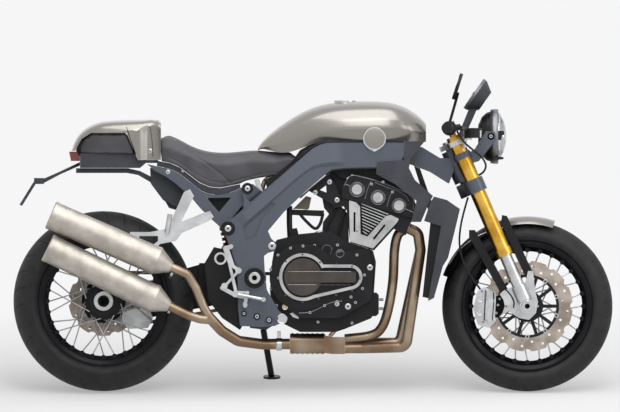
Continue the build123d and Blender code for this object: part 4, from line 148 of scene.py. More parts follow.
def finish(name, code, metallic=0.0, roughness=0.5, **extra):
    """A principled material with its flat settings on its own sockets."""
    material = bpy.data.materials.new(name)
    material.use_nodes = True
    shader = material.node_tree.nodes["Principled BSDF"]
    shader.inputs["Base Color"].default_value = linear(code)
    shader.inputs["Metallic"].default_value = metallic
    shader.inputs["Roughness"].default_value = roughness
    for key, value in extra.items():
        shader.inputs[key.replace("_", " ")].default_value = value
    return material, material.node_tree, shader


def plain(name, code, metallic=0.0, roughness=0.5, **extra):
    """A finish with no pattern, for pieces a few millimetres across."""
    return finish(name, code, metallic, roughness, **extra)[0]


def place_of(tree):
    """The object coordinate, in metres, which rides with the piece."""
    return node(tree, "ShaderNodeTexCoord").outputs["Object"]


def two_tones(tree, shader, factor, low, high, start=0.35, end=0.65):
    """Vary the base colour between two hex colours by a factor."""
    ramp = node(tree, "ShaderNodeValToRGB", i0=factor)
    ramp.color_ramp.elements[0].position, ramp.color_ramp.elements[1].position = start, end
    ramp.color_ramp.elements[0].color, ramp.color_ramp.elements[1].color = linear(low), linear(high)
    tree.links.new(ramp.outputs["Color"], shader.inputs["Base Color"])


def bumps(tree, shader, height, strength, distance):
    """Raise the surface by a height pattern, over a distance in metres."""
    bump = node(tree, "ShaderNodeBump", Height=height, Strength=strength, Distance=distance)
    tree.links.new(bump.outputs["Normal"], shader.inputs["Normal"])


def roughness_from(tree, shader, factor, low, high):
    """Let the roughness wander between two values by a factor."""
    spread = node(tree, "ShaderNodeMapRange", Value=factor, To_Min=low, To_Max=high)
    tree.links.new(spread.outputs["Result"], shader.inputs["Roughness"])


print("colour and node helpers ready")

# %% [markdown]
# ### Paint
# Metallic lacquer is a coloured base with fine aluminium flakes under a clear coat. The flakes
# sparkle at about a fifth of a millimetre, too fine for this view, so they are drawn at 0.8 mm.

# %% Painted metal


def lacquer(name, low, high, metallic, roughness, coat):
    """Flake paint: noise tones at 0.8 mm under a clear coat."""
    material, tree, shader = finish(name, high, metallic, roughness, Coat_Weight=coat, Coat_Roughness=0.06)
    flakes = node(tree, "ShaderNodeTexNoise", Vector=place_of(tree), Scale=FLAKES, Detail=1.0)
    two_tones(tree, shader, flakes.outputs["Fac"], low, high, start=0.3, end=0.7)
    return material


tank_paint = lacquer("champagne_flake_lacquer", "#7d7973", "#96928b", 0.8, 0.28, 0.8)
frame_paint = lacquer("slate_flake_powder_coat", "#434852", "#5a606b", 0.55, 0.42, 0.25)
print("materials so far", len(bpy.data.materials))

# %% [markdown]
# ### Black parts
# The engine cases are cast aluminium with a satin black coat. Casting leaves a fine pebbled
# skin of about 1.5 mm. Rims, hubs and brackets are smoother.

# %% Cast, moulded and coated black


def cast_coat(name, low, high, roughness, grain, depth, metallic=0.0):
    """A coated casting: pebbled noise of a grain size in metres, in colour, bump and roughness."""
    material, tree, shader = finish(name, low, metallic, roughness, Specular_IOR_Level=0.25)
    where = place_of(tree)
    pebbles = node(tree, "ShaderNodeTexNoise", Vector=where, Scale=1 / grain, Detail=4.0)
    clouds = node(tree, "ShaderNodeTexNoise", Vector=where, Scale=COAT_CLOUDS, Detail=3.0)
    two_tones(tree, shader, clouds.outputs["Fac"], low, high)
    roughness_from(tree, shader, clouds.outputs["Fac"], roughness - 0.08, roughness + 0.1)
    bumps(tree, shader, pebbles.outputs["Fac"], 0.35, depth)
    return material


engine_black = cast_coat("satin_black_casting", "#0d0d0f", "#17171a", 0.36, 0.0015, 0.0004)
rim_black = cast_coat("black_anodised_rim", "#17171a", "#202024", 0.28, 0.003, 0.0001, 0.6)
bracket_black = cast_coat("black_powder_coat", "#0e0e10", "#18181b", 0.42, 0.001, 0.0003)
panel_grey = cast_coat("dark_grey_moulding", "#3b3d42", "#46484e", 0.5, 0.0012, 0.0003)
case_bronze = cast_coat("bronze_painted_casting", "#453f3b", "#524b46", 0.42, 0.002, 0.0003, 0.4)
print("materials so far", len(bpy.data.materials))

# %% [markdown]
# ### Bare metal
# Machined aluminium, polished chrome and ground discs have fine tool lines, drawn 0.8 mm apart
# here. Heat colours stainless pipes straw and brown, and beads blast titanium matt.

# %% Bare metals
LINE_SPACING, DRAWN_OUT = 0.0008, 30


def machined(name, low, high, roughness):
    """Bare metal with tool lines: a noise drawn out 30 times along the machine."""
    material, tree, shader = finish(name, high, 1.0, roughness)
    where = place_of(tree)
    stretch = node(tree, "ShaderNodeMapping", Vector=where, Scale=(1 / DRAWN_OUT, 1.0, 1.0))
    drawn = stretch.outputs["Vector"]
    lines = node(tree, "ShaderNodeTexNoise", Vector=drawn, Scale=1 / LINE_SPACING, Detail=2.0)
    clouds = node(tree, "ShaderNodeTexNoise", Vector=where, Scale=METAL_CLOUDS, Detail=2.0)
    two_tones(tree, shader, clouds.outputs["Fac"], low, high)
    roughness_from(tree, shader, lines.outputs["Fac"], roughness - 0.1, roughness + 0.12)
    bumps(tree, shader, lines.outputs["Fac"], 0.12, 0.0002)
    return material


aluminium = machined("machined_aluminium", "#b2b3b4", "#cccdcd", 0.34)
stainless = machined("stainless_steel", "#a6a6a6", "#c2c2c1", 0.28)
gold = machined("gold_anodised_aluminium", "#b98a2f", "#dcae50", 0.28)
chain_steel = machined("oiled_chain_steel", "#6f675a", "#8f8573", 0.38)
lamp_chrome = machined("polished_chrome", "#c9c9c9", "#e0e0e0", 0.12)
rotor_steel = machined("ground_rotor_steel", "#8d8379", "#b3a89d", 0.4)


def heat_tint(name, cool, warm):
    """Stainless pipe: cool grey to straw brown in soft bands along the machine."""
    material, tree, shader = finish(name, warm, 0.85, 0.36)
    where = place_of(tree)
    bands = node(tree, "ShaderNodeTexNoise", Vector=where, Scale=TINT_BANDS, Detail=2.0)
    grain = node(tree, "ShaderNodeTexNoise", Vector=where, Scale=PIPE_GRAIN, Detail=2.0)
    two_tones(tree, shader, bands.outputs["Fac"], cool, warm, start=0.4, end=0.62)
    roughness_from(tree, shader, grain.outputs["Fac"], 0.28, 0.46)
    return material


header_steel = heat_tint("heat_tinted_stainless", "#a3927d", "#7d6650")


def blasted(name, low, high):
    """Bead blasted titanium: even, matt and slightly mottled, with 0.8 mm pits."""
    material, tree, shader = finish(name, high, 0.7, 0.5)
    where = place_of(tree)
    mottle = node(tree, "ShaderNodeTexNoise", Vector=where, Scale=MOTTLE, Detail=4.0)
    pits = node(tree, "ShaderNodeTexNoise", Vector=where, Scale=PITS, Detail=1.0)
    two_tones(tree, shader, mottle.outputs["Fac"], low, high)
    bumps(tree, shader, pits.outputs["Fac"], 0.2, 0.0003)
    return material


silencer_skin = blasted("bead_blasted_titanium", "#aea89f", "#c5bfb6")
print("materials so far", len(bpy.data.materials))

# %% [markdown]
# ### Rubber, leather and lenses
# Rubber is nearly black and dull. The saddle leather is charcoal with a grain of about 1.5 mm.
# The lamp glass is clear, the mirrors are silvered, and the tail lens is a glossy red.

# %% Soft and clear finishes


def rubber(name, low, high, roughness):
    """Moulded rubber: dull, with a faint bloom that wanders at 3 cm."""
    material, tree, shader = finish(name, low, 0.0, roughness, Specular_IOR_Level=0.35)
    where = place_of(tree)
    bloom = node(tree, "ShaderNodeTexNoise", Vector=where, Scale=BLOOM, Detail=4.0)
    skin = node(tree, "ShaderNodeTexNoise", Vector=where, Scale=MOULD_SKIN, Detail=2.0)
    two_tones(tree, shader, bloom.outputs["Fac"], low, high)
    bumps(tree, shader, skin.outputs["Fac"], 0.15, 0.0003)
    return material


tyre_rubber = rubber("tyre_rubber", "#1b1b1c", "#262627", 0.62)
grip_rubber = rubber("grip_rubber", "#171718", "#222223", 0.7)


def leather(name, low, high):
    """Saddle leather: a pebble of cells 1.6 mm wide with creases between them."""
    material, tree, shader = finish(name, low, 0.0, 0.55, Sheen_Weight=0.15, Sheen_Roughness=0.5)
    where = place_of(tree)
    cells = node(tree, "ShaderNodeTexVoronoi", {"feature": "DISTANCE_TO_EDGE"}, Vector=where, Scale=PEBBLES)
    wear = node(tree, "ShaderNodeTexNoise", Vector=where, Scale=LEATHER_WEAR, Detail=4.0)
    two_tones(tree, shader, wear.outputs["Fac"], low, high)
    roughness_from(tree, shader, wear.outputs["Fac"], 0.48, 0.64)
    bumps(tree, shader, cells.outputs["Distance"], 0.4, 0.0006)
    return material


saddle_leather = leather("charcoal_saddle_leather", "#3d3c40", "#4d4c51")
lamp_glass = plain("clear_lamp_glass", "#f4f7f8", 0.0, 0.04, Transmission_Weight=1.0, IOR=1.5)
dial_glass = plain("smoked_dial_glass", "#0b0c0e", 0.0, 0.05, Coat_Weight=1.0)
mirror_glass = plain("mirror_glass", "#c6cbd0", 1.0, 0.07)
red_lens = plain("red_tail_lens", "#8a1414", 0.0, 0.15, Coat_Weight=0.8, Coat_Roughness=0.05)
spring_red = cast_coat("dark_red_spring_paint", "#5a1713", "#6c1d17", 0.35, 0.002, 0.0001)
print("materials so far", len(bpy.data.materials))

# %% [markdown]
# ### Who wears what
# Each CAD node takes the finish of its real piece in its material slot. One table from finish
# to nodes is easier to check against the photograph than a line for each node.

# %% Dress the CAD nodes
wardrobe = {
    tyre_rubber: ("front_tyre", "rear_tyre"),
    rim_black: ("front_rim", "rear_rim"),
    stainless: ("front_spokes", "rear_spokes", "engine_trims", "pivot_bolt", "rear_sprocket"),
    bracket_black: ("front_hub", "rear_hub", "hand_controls", "handlebar", "mirrors", "headlamp"),
    rotor_steel: ("front_discs", "rear_disc"),
    aluminium: (
        "fork_inners", "front_calipers", "rear_caliper", "upper_clamp", "front_axle", "fuel_cap",
        "passenger_hangers", "rider_hanger_left", "rider_hanger_right",
    ),
    frame_paint: ("frame_spar_left", "frame_spar_right", "frame_members", "subframe", "lower_clamp"),
    tank_paint: ("fuel_tank", "seat_cowl", "front_mudguard"),
    panel_grey: ("side_panels", "radiator_shrouds", "undertray", "instruments"),
    engine_black: (
        "crankcase", "cylinder_block", "cam_cover", "generator_cover", "clutch_cover", "radiator",
        "swingarm", "side_stand",
    ),
    case_bronze: ("clutch_insert",),
    gold: ("fork_outers",),
    grip_rubber: ("grips", "brake_hoses"),
    lamp_glass: ("headlamp_lens",),
    saddle_leather: ("seat", "tail_pad"),
    red_lens: ("tail_lamp",),
    header_steel: ("headers", "tail_pipe", "collector"),
    silencer_skin: ("silencers",),
    spring_red: ("shock",),
    chain_steel: ("chain",),
}
dressed = set()
for material, names in wardrobe.items():
    for name in names:
        if name in nodes:
            nodes[name].data.materials.clear()
            nodes[name].data.materials.append(material)
            dressed.add(name)
print("dressed", len(dressed), "nodes, undressed:", sorted(set(nodes) - dressed))

# %% [markdown]
# ## Surfaces from grids
# Every new rigid piece is a surface: a function of two numbers sampled on a grid, or a profile
# carried along a path. The grid is made in numpy, and one function turns it into a mesh.

# %% Mesh helpers


def piece_from(name, points, faces, material, body, angle=None):
    """A mesh object from points in metres and index faces, riding on a body. It is smooth, but
    for edges that are sharper than an angle in degrees, where one is given."""
    mesh = bpy.data.meshes.new(name)
    mesh.from_pydata(points.tolist(), [], faces)
    mesh.update()
    mesh.materials.append(material)
    mesh.polygons.foreach_set("use_smooth", [True] * len(mesh.polygons))
    if angle is not None:
        mesh.set_sharp_from_angle(angle=math.radians(angle))
    made = bpy.data.objects.new(name, mesh)
    bpy.context.scene.collection.objects.link(made)
    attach(made, body)
    return made


def grid_faces(rows, columns, wrap_rows=False, wrap_columns=False):
    """Quads of a grid of rows by columns, joined up at the ends where it wraps."""
    down = np.arange(rows if wrap_rows else rows - 1)
    along = np.arange(columns if wrap_columns else columns - 1)
    i, j = np.meshgrid(down, along, indexing="ij")
    k, m = (i + 1) % rows, (j + 1) % columns
    return np.stack([i * columns + j, i * columns + m, k * columns + m, k * columns + j], -1).reshape(-1, 4)


def capped_grid(rows, columns):
    """Faces of a closed body: a grid whose rows are rings, and a cap over the first and last."""
    last = (rows - 1) * columns
    caps = [list(range(columns))[::-1], list(range(last, last + columns))]
    return grid_faces(rows, columns, wrap_columns=True).tolist() + caps


def joined(parts):
    """One list of points and one of faces from several of each."""
    points, faces, count = [], [], 0
    for some_points, some_faces in parts:
        some_points = np.asarray(some_points, float).reshape(-1, 3)
        points.append(some_points)
        faces += [tuple(int(index) + count for index in face) for face in some_faces]
        count += len(some_points)
    return np.concatenate(points), faces


def lathe(profile, start, way, sides=40):
    """A closed turned body: each point of a profile of (along, radius) in millimetres becomes a
    ring about the axis, and flat ends close it."""
    profile = np.asarray(profile, float) / 1000
    way = np.asarray(way, float) / np.linalg.norm(way)
    side = np.cross(way, [0.0, 0.0, 1.0] if abs(way[2]) < 0.9 else [1.0, 0.0, 0.0])
    side /= np.linalg.norm(side)
    other = np.cross(way, side)
    angle = np.linspace(0, 2 * np.pi, sides, endpoint=False)[None, :, None]
    ring = np.cos(angle) * side + np.sin(angle) * other
    points = np.asarray(start) + profile[:, None, 0:1] * way + profile[:, None, 1:2] * ring
    return points.reshape(-1, 3), capped_grid(len(profile), sides)


print("mesh helpers ready")

# %% [markdown]
# ## Tyres
# The tyres are road tyres of a sports pattern: a round crown, long slanted grooves that stop
# short of the middle, and smooth sidewalls with two thin mould rings. Moulded rubber is one
# skin. Grooves could be cut by booleans, but that is slow and leaves ragged edges, so each
# tyre is one surface: the CAD profile carried round the axle, pushed in by the grooves. They
# are 3.5 mm deep with soft edges, as in a half worn tyre.

# %% Tread function
# Lengths are in millimetres, and shares are of half the tyre's width.
FLANGE_RADIUS, BEAD_RADIUS, BEAD_INSET, BULGE_SHARE = 228.2, 216.4, 0.2, 0.86
WALL_POINTS, CROWN_POINTS, TURN_POINTS = 13, 61, 900
GROOVE_DEPTH, GROOVE_HALF, GROOVE_TAPER, GROOVE_EDGE, GROOVE_SLANT = 3.5, 3.4, 0.35, 1.4, 0.9
GROOVE_FROM_SHARE, GROOVE_TO_SHARE, GROOVE_RUN_SHARE = 0.1, 0.86, 0.05
MOULD_RINGS, MOULD_RING_HEIGHT, MOULD_RING_SHARE = [4, 9, -7, -12], 0.6, 0.3


def arc_through(first, middle, last, count):
    """Points along the circle through three points, from the first to the last."""
    (ax, ay), (bx, by), (cx, cy) = first, middle, last
    d = 2 * (ax * (by - cy) + bx * (cy - ay) + cx * (ay - by))
    a2, b2, c2 = ax * ax + ay * ay, bx * bx + by * by, cx * cx + cy * cy
    x = (a2 * (by - cy) + b2 * (cy - ay) + c2 * (ay - by)) / d
    y = (a2 * (cx - bx) + b2 * (ax - cx) + c2 * (bx - ax)) / d
    angles = np.unwrap([math.atan2(py - y, px - x) for px, py in (first, middle, last)])
    sweep = np.linspace(angles[0], angles[2], count)
    radius = math.hypot(ax - x, ay - y)
    return np.stack([x + radius * np.cos(sweep), y + radius * np.sin(sweep)], -1)


def road_tyre(name, body, axle, radius, width, drop, rim_width, pitches):
    """A tyre skin with its tread.

    The profile is the beads, the bulged sidewalls and the crown arc. Across the crown t runs
    from -1 to 1. A groove lies where the fractional part of (pitch count times turn, plus the
    slant times the root of |t|, plus a half on one side) is near a half, for |t| between its two
    shares. Its depth falls off smoothly at each edge.
    """
    half, bead = width / 2, rim_width / 2 - BEAD_INSET
    shoulder = radius - drop
    bulge, middle = bead + (half - bead) * BULGE_SHARE, (FLANGE_RADIUS + shoulder) / 2
    right_wall = arc_through((bead, FLANGE_RADIUS), (bulge, middle), (half, shoulder), WALL_POINTS)
    crown = arc_through((half, shoulder), (0, radius), (-half, shoulder), CROWN_POINTS)
    left_wall = right_wall[::-1] * (-1, 1)
    inner = np.array([(-bead, BEAD_RADIUS), (bead, BEAD_RADIUS)])
    profile = np.concatenate([right_wall, crown[1:-1], left_wall, inner])
    turns = np.linspace(0, 1, TURN_POINTS, endpoint=False)
    turn, t = np.meshgrid(turns, np.clip(profile[:, 0] / half, -1, 1), indexing="ij")
    on_crown = np.zeros(len(profile))
    on_crown[len(right_wall) : len(right_wall) + len(crown) - 2] = 1
    aside = np.abs(t)
    phase = pitches * turn + GROOVE_SLANT * np.sqrt(aside) + np.where(t < 0, 0.5, 0.0)
    reach = np.abs(phase % 1 - 0.5) * 2 * np.pi * radius / pitches
    wide = GROOVE_HALF * (1 - GROOVE_TAPER * aside)
    inside = np.clip((wide - reach) / GROOVE_EDGE + 0.5, 0, 1)
    begun = np.clip((aside - GROOVE_FROM_SHARE) / GROOVE_RUN_SHARE, 0, 1)
    left_over = np.clip((GROOVE_TO_SHARE - aside) / GROOVE_RUN_SHARE, 0, 1)
    depth = GROOVE_DEPTH * inside * begun * left_over * on_crown[None, :]
    rings = np.zeros(len(profile))
    rings[MOULD_RINGS] = MOULD_RING_HEIGHT
    swell = np.sign(t) * rings[None, :] * (aside > MOULD_RING_SHARE)
    out = np.clip(np.broadcast_to(profile[:, 0], turn.shape) + swell, -half, half)
    high = profile[None, :, 1] - depth
    angle = 2 * np.pi * turn
    x, z = high * np.cos(angle), high * np.sin(angle)
    local = np.stack([x, out, z], -1) / 1000
    points = np.asarray(axle) + local[..., 0:1] * AHEAD + local[..., 1:2] * LEFT + local[..., 2:3] * UP
    faces = grid_faces(len(turns), len(profile), wrap_rows=True, wrap_columns=True)[:, ::-1]
    made = piece_from(name, points.reshape(-1, 3), faces.tolist(), tyre_rubber, body)
    print(name, len(faces) * 2, "triangles")
    return made


# %% Both tyres
# Radius, width, drop of the crown to the shoulder, rim width, and the count of grooves a side.
FRONT_TYRE = (300, 120, 44, 89, 34)
REAR_TYRE = (317, 200, 62, 152, 30)

front_tread = road_tyre("front_tyre_tread", "front_wheel", FRONT_AXLE, *FRONT_TYRE)
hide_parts("front_tyre")
rear_tread = road_tyre("rear_tyre_tread", "rear_wheel", REAR_AXLE, *REAR_TYRE)
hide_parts("rear_tyre")

# %% [markdown]
# ## Saddle and tail pad
# Both are foam under stretched leather. The real ones are foam blocks with a stitched cover
# pulled down over the pan, so their tops swell a little between the seams. They could be
# sculpted, but cloth finds the swell by itself. Each starts from its CAD solid, drawn in a
# little, is remeshed, and is blown up as cloth with a small pressure. How far it may move is
# capped, and its underside stays flat on the pan.

# %% Mesh arrays


def vertices_of(mesh):
    """The vertices as an array."""
    values = np.empty(len(mesh.vertices) * 3)
    mesh.vertices.foreach_get("co", values)
    return values.reshape(-1, 3)


def normals_of(mesh):
    """The vertex normals as an array."""
    values = np.empty(len(mesh.vertices) * 3)
    mesh.vertex_normals.foreach_get("vector", values)
    return values.reshape(-1, 3)


def move_to(mesh, points):
    """Write an array of places into the vertices."""
    mesh.vertices.foreach_set("co", np.ascontiguousarray(points, float).ravel())
    mesh.update()


def applied(made):
    """Apply a piece's modifiers by taking its evaluated mesh."""
    mesh = bpy.data.meshes.new_from_object(made.evaluated_get(bpy.context.evaluated_depsgraph_get()))
    made.modifiers.clear()
    made.data = mesh
    return mesh


print("array helpers ready")

# %% Padding
PAD_FILL, PRESSURE, CLOTH_QUALITY, CLOTH_FRAMES = 0.85, 4.0, 4, 20
EASE_FACTOR, EASE_ROUNDS, SIDE_SWELL_SHARE = 0.5, 3, 0.35


def pad_from(name, solid, material, body, draw_in, voxel, cap):
    """A leather pad from a soft CAD solid: drawn in, remeshed, blown up, smoothed, divided once."""
    made = bpy.data.objects.new(name, nodes[solid].data.copy())
    bpy.context.scene.collection.objects.link(made)
    remesh = made.modifiers.new("remesh", "REMESH")
    remesh.mode, remesh.voxel_size = "VOXEL", voxel
    mesh = applied(made)
    ease = made.modifiers.new("ease", "SMOOTH")
    ease.factor, ease.iterations = EASE_FACTOR, EASE_ROUNDS
    mesh = applied(made)
    rest = vertices_of(mesh) - normals_of(mesh) * draw_in
    move_to(mesh, rest)
    cloth = made.modifiers.new("cloth", "CLOTH")
    cloth.settings.use_pressure = True
    cloth.settings.uniform_pressure_force = PRESSURE
    cloth.settings.effector_weights.gravity = 0.0
    cloth.settings.quality = CLOTH_QUALITY
    for step in range(1, CLOTH_FRAMES + 1):
        bpy.context.scene.frame_set(step)
    blown = vertices_of(made.evaluated_get(bpy.context.evaluated_depsgraph_get()).data)
    made.modifiers.clear()
    bpy.context.scene.frame_set(1)
    moved = blown - rest
    length = np.linalg.norm(moved, axis=1, keepdims=True) + 1e-9
    up = np.clip(normals_of(mesh) @ UP + SIDE_SWELL_SHARE, 0, 1)[:, None]
    move_to(mesh, rest + moved * np.minimum(1, cap / length) * up)
    divide = made.modifiers.new("divide", "SUBSURF")
    divide.levels = divide.render_levels = 1
    mesh = applied(made)
    mesh.materials.clear()
    mesh.materials.append(material)
    mesh.polygons.foreach_set("use_smooth", [True] * len(mesh.polygons))
    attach(made, body)
    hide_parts(solid)
    print(name, len(mesh.polygons) * 2, "triangles")
    return made


saddle = pad_from("saddle_pad", "seat", saddle_leather, "chassis", 0.001, 0.006, 0.006)
pad_from("tail_pad_cover", "tail_pad", saddle_leather, "chassis", 0.0, 0.005, 0.005)

# %% [markdown]
# ### Saddle seams
# Two seams pull the leather in: one across the saddle and one along its lower edge. Stitches
# are too fine to show here, so a seam is a smooth valley along a line of the side view.

# %% Seams sewn into the saddle
# Seams: line in pixels, depth in metres and width in pixels.
SADDLE_SEAMS = [
    ([(175, 139), (190, 150), (205, 162), (222, 175), (230, 183)], 0.0035, 0.8),
    ([(170, 158), (182, 164), (196, 174), (210, 181), (224, 183.5), (244, 178.5), (262, 174)], 0.002, 0.6),
]


def side_view(points):
    """Columns, rows and distances out to the right, in the view's pixels and metres."""
    away = points - REAR_AXLE
    x, y, z = away @ AHEAD, away @ LEFT, away @ UP + REAR_HEIGHT
    return REAR_COLUMN + x / PIXEL, FLOOR_ROW - z / PIXEL, -y


def distance_to(line, columns, rows):
    """Distance in pixels from places of the view to a line of straight runs."""
    line = np.asarray(line, float)
    where = np.stack([columns, rows], -1)
    nearest = np.full(len(where), 1e9)
    for start, end in zip(line[:-1], line[1:]):
        run = end - start
        share = np.clip(((where - start) @ run) / (run @ run), 0, 1)
        nearest = np.minimum(nearest, np.linalg.norm(where - start - share[:, None] * run, axis=1))
    return nearest


def sew(made, line, depth, width):
    """Pull a seam in along a line of the side view: the depth times exp of minus the square of
    (distance over width)."""
    points = vertices_of(made.data)
    columns, rows, _ = side_view(points)
    valley = np.exp(-((distance_to(line, columns, rows) / width) ** 2))
    move_to(made.data, points - normals_of(made.data) * (depth * valley)[:, None])


for seam in SADDLE_SEAMS:
    sew(saddle, *seam)
print("seams", len(SADDLE_SEAMS))

# %% [markdown]
# ## Fasteners, lines and small fittings
# Bolts and rings are profiles turned about the lateral axis, many copies in one mesh. Pipes are
# rings carried along a smooth curve. Small covers are outlines of the side view with thickness.
# They could be placed by hand, but a ray cast from the side finds the metal under each bolt,
# so every one of them is seated. The small pieces need only plain finishes.

# %% More finishes
zinc = plain("zinc_plated_steel", "#c4c5c7", 1.0, 0.3)
hole_black = plain("unlit_bore", "#08080a", 0.0, 0.8, Specular_IOR_Level=0.1)
# Grey metal that paints highlights on the edges and rings of the black castings.
highlight_grey = plain("grey_painted_edge_highlight", "#74757a", 0.8, 0.34)
sight_yellow = plain("amber_sight_glass", "#c9b765", 0.0, 0.12, Coat_Weight=0.6)
box_brown = plain("brown_grey_moulding", "#6d645c", 0.0, 0.5)
fluid_white = plain("translucent_reservoir_plastic", "#e2e2dc", 0.0, 0.3, Subsurface_Weight=0.2)
cap_red = plain("red_reservoir_cap", "#a8423c", 0.0, 0.4)
dial_white = plain("printed_dial_marks", "#d4d4d0", 0.0, 0.5)
lug_grey = plain("clear_coated_casting", "#7b7c80", 0.9, 0.4)
copper_pipe = plain("copper_toned_pipe", "#a9967f", 0.8, 0.35)
print("materials so far", len(bpy.data.materials))

# %% Rays onto the metal
FAR_OUT = 0.6


def cast_tree(body):
    """A search tree of all the CAD triangles of one body."""
    points, faces, count = [], [], 0
    for name, item in nodes.items():
        if body in body_of(item):
            places = vertices_of(item.data)
            corners = np.empty(len(item.data.loops), int)
            item.data.loops.foreach_get("vertex_index", corners)
            points.append(places)
            faces.append(corners.reshape(-1, 3) + count)
            count += len(places)
    return BVHTree.FromPolygons(np.concatenate(points).tolist(), np.concatenate(faces).tolist())


trees = {body: cast_tree(body) for body in ("chassis", "steering_gear", "rear_wheel")}


def surface_out(body, px, py, side=1):
    """How far out a body's metal is, in millimetres, under a pixel of the side view."""
    start = Vector(park([spot(px, py, side * FAR_OUT)])[0])
    hit = trees[body].ray_cast(start, Vector(LEFT) * side)
    return side * (FAR_OUT - hit[3]) * 1000 if hit[0] else None


print("search trees", list(trees))

# %% Turned heads and their profiles
# A profile is (height, radius), both as shares of the head's radius.
SOCKET = [(-0.4, 1), (0.45, 1), (0.6, 0.88), (0.6, 0.52), (0.2, 0.46)]
WASHERED = [(-0.3, 1.45), (0.1, 1.45), (0.15, 1.38), (0.15, 1), (0.5, 1), (0.62, 0.88), (0.62, 0.5),
            (0.2, 0.45)]
BUTTON = [(-0.3, 1), (0.1, 1), (0.35, 0.85), (0.5, 0.5), (0.52, 0.2)]
DISC_BUTTON = [(-0.5, 1), (0.12, 1), (0.22, 0.9), (0.22, 0.55), (0.02, 0.5), (0.02, 0.2)]
FLAT_DISC = [(-0.3, 1), (0.08, 1), (0.12, 0.95), (0.12, 0.2)]
RAISED_RING = [(-0.3, 1), (0.16, 1), (0.2, 0.95), (0.2, 0.8), (0.16, 0.74), (0.02, 0.72), (0.02, 0.2)]
NUT_RING = [(-0.3, 1), (0.3, 1), (0.36, 0.93), (0.36, 0.5), (0.3, 0.44), (-0.2, 0.42)]
THIN_RING = [(-0.1, 1), (0.06, 1), (0.09, 0.95), (0.06, 0.88), (-0.1, 0.86)]
PLUG_RING = [(-0.1, 1), (0.03, 1), (0.045, 0.97), (0.03, 0.94), (-0.1, 0.94)]
BORE_RING = [(-0.3, 1), (0.05, 1), (0.09, 0.95), (0.09, 0.8), (0.02, 0.76), (0.02, 0.3)]
HUB_RING = [(-0.1, 1), (0.08, 1), (0.12, 0.95), (0.12, 0.62), (0.06, 0.56), (0.0, 0.55), (0.0, 0.4)]
AXLE_RING = [(-0.2, 1), (0.1, 1), (0.2, 0.9), (0.2, 0.62), (0.1, 0.55), (-0.2, 0.5)]
BORE_DISC = [(-0.1, 1), (0.05, 1), (0.05, 0.3)]
AXLE_BORE = [(-0.3, 1), (0.05, 1), (0.05, 0.3)]
SOCKET_FLOOR = [(-0.3, 1), (0.06, 1), (0.08, 0.3)]
BALL = [(-0.6, 0.5), (-0.4, 0.9), (0, 1), (0.5, 0.87), (0.85, 0.5), (0.98, 0.15)]
DISC_RIM = [(-0.5, 1), (0.16, 1), (0.2, 0.97), (0.2, 0.88), (0.1, 0.86)]
DISC_FACE = [(-0.2, 0.87), (0.15, 0.87), (0.165, 0.7), (0.175, 0.3)]


def heads(rows, profile, sides=14, side=1):
    """Copies of one turned head. Each row is column, row, distance out and radius, in pixels and
    millimetres; the profile's heights and radii are shares of that radius."""
    rows, profile = np.asarray(rows, float), np.asarray(profile, float)
    angle = np.linspace(0, 2 * np.pi, sides, endpoint=False) * side
    ring = np.stack([np.cos(angle), 0 * angle, np.sin(angle)], -1)
    unit = profile[:, None, 1:2] * ring + profile[:, None, 0:1] * np.array([0.0, -side, 0.0])
    points = spots(rows[:, :3])[:, None, None] + rows[:, 3, None, None, None] / 1000 * unit
    one = grid_faces(len(profile), sides, wrap_columns=True)
    starts = np.arange(len(rows)) * len(profile) * sides
    faces = [tuple(face) for face in (one[None] + starts[:, None, None]).reshape(-1, 4).tolist()]
    base, top = np.arange(sides)[::-1], np.arange(sides) + (len(profile) - 1) * sides
    faces += [tuple((ends + start).tolist()) for start in starts for ends in (base, top)]
    return points.reshape(-1, 3), faces


def rigid(name, parts, material, body="chassis", angle=38):
    """One piece from several parts worked out upright, smooth but for its sharper edges."""
    points, faces = joined(parts)
    return piece_from(name, park(points), faces, material, body, angle)


sockets = {}


def fasteners(name, rows, profile, material, body="chassis", side=1, sides=14):
    """Heads seated on the metal below them. Rows are column, row and radius in pixels, and over a
    bore how far out its face is. The right side's sockets are noted for their recesses."""
    seated = []
    for px, py, radius, *given in rows:
        out = given[0] if given else surface_out(body, px, py, side)
        if out is None:
            print(name, "finds nothing under", px, py)
            continue
        seated.append((px, py, out, radius * PIXEL * 1000))
    if profile in (SOCKET, WASHERED) and side == 1:
        depth, share = profile[-1]
        recesses = [(px, py, out + depth * radius, radius * share) for px, py, out, radius in seated]
        sockets.setdefault(body, []).extend(recesses)
    if seated:
        rigid(name, [heads(seated, profile, sides, side)], material, body)


print("profiles of heads ready")

# %% Curves, tubes and plates


def curve(rows, count=24):
    """A smooth curve through rows of column, row and out: Catmull and Rom's cubic between each two."""
    points = spots(rows)
    ends = np.concatenate([[2 * points[0] - points[1]], points, [2 * points[-1] - points[-2]]])
    share = np.linspace(0, len(points) - 1, count)
    k = np.minimum(share.astype(int), len(points) - 2)
    t = (share - k)[:, None]
    a, b, c, d = ends[k], ends[k + 1], ends[k + 2], ends[k + 3]
    square, cube = 2 * a - 5 * b + 4 * c - d, 3 * b - a - 3 * c + d
    return 0.5 * (2 * b + (c - a) * t + square * t**2 + cube * t**3)


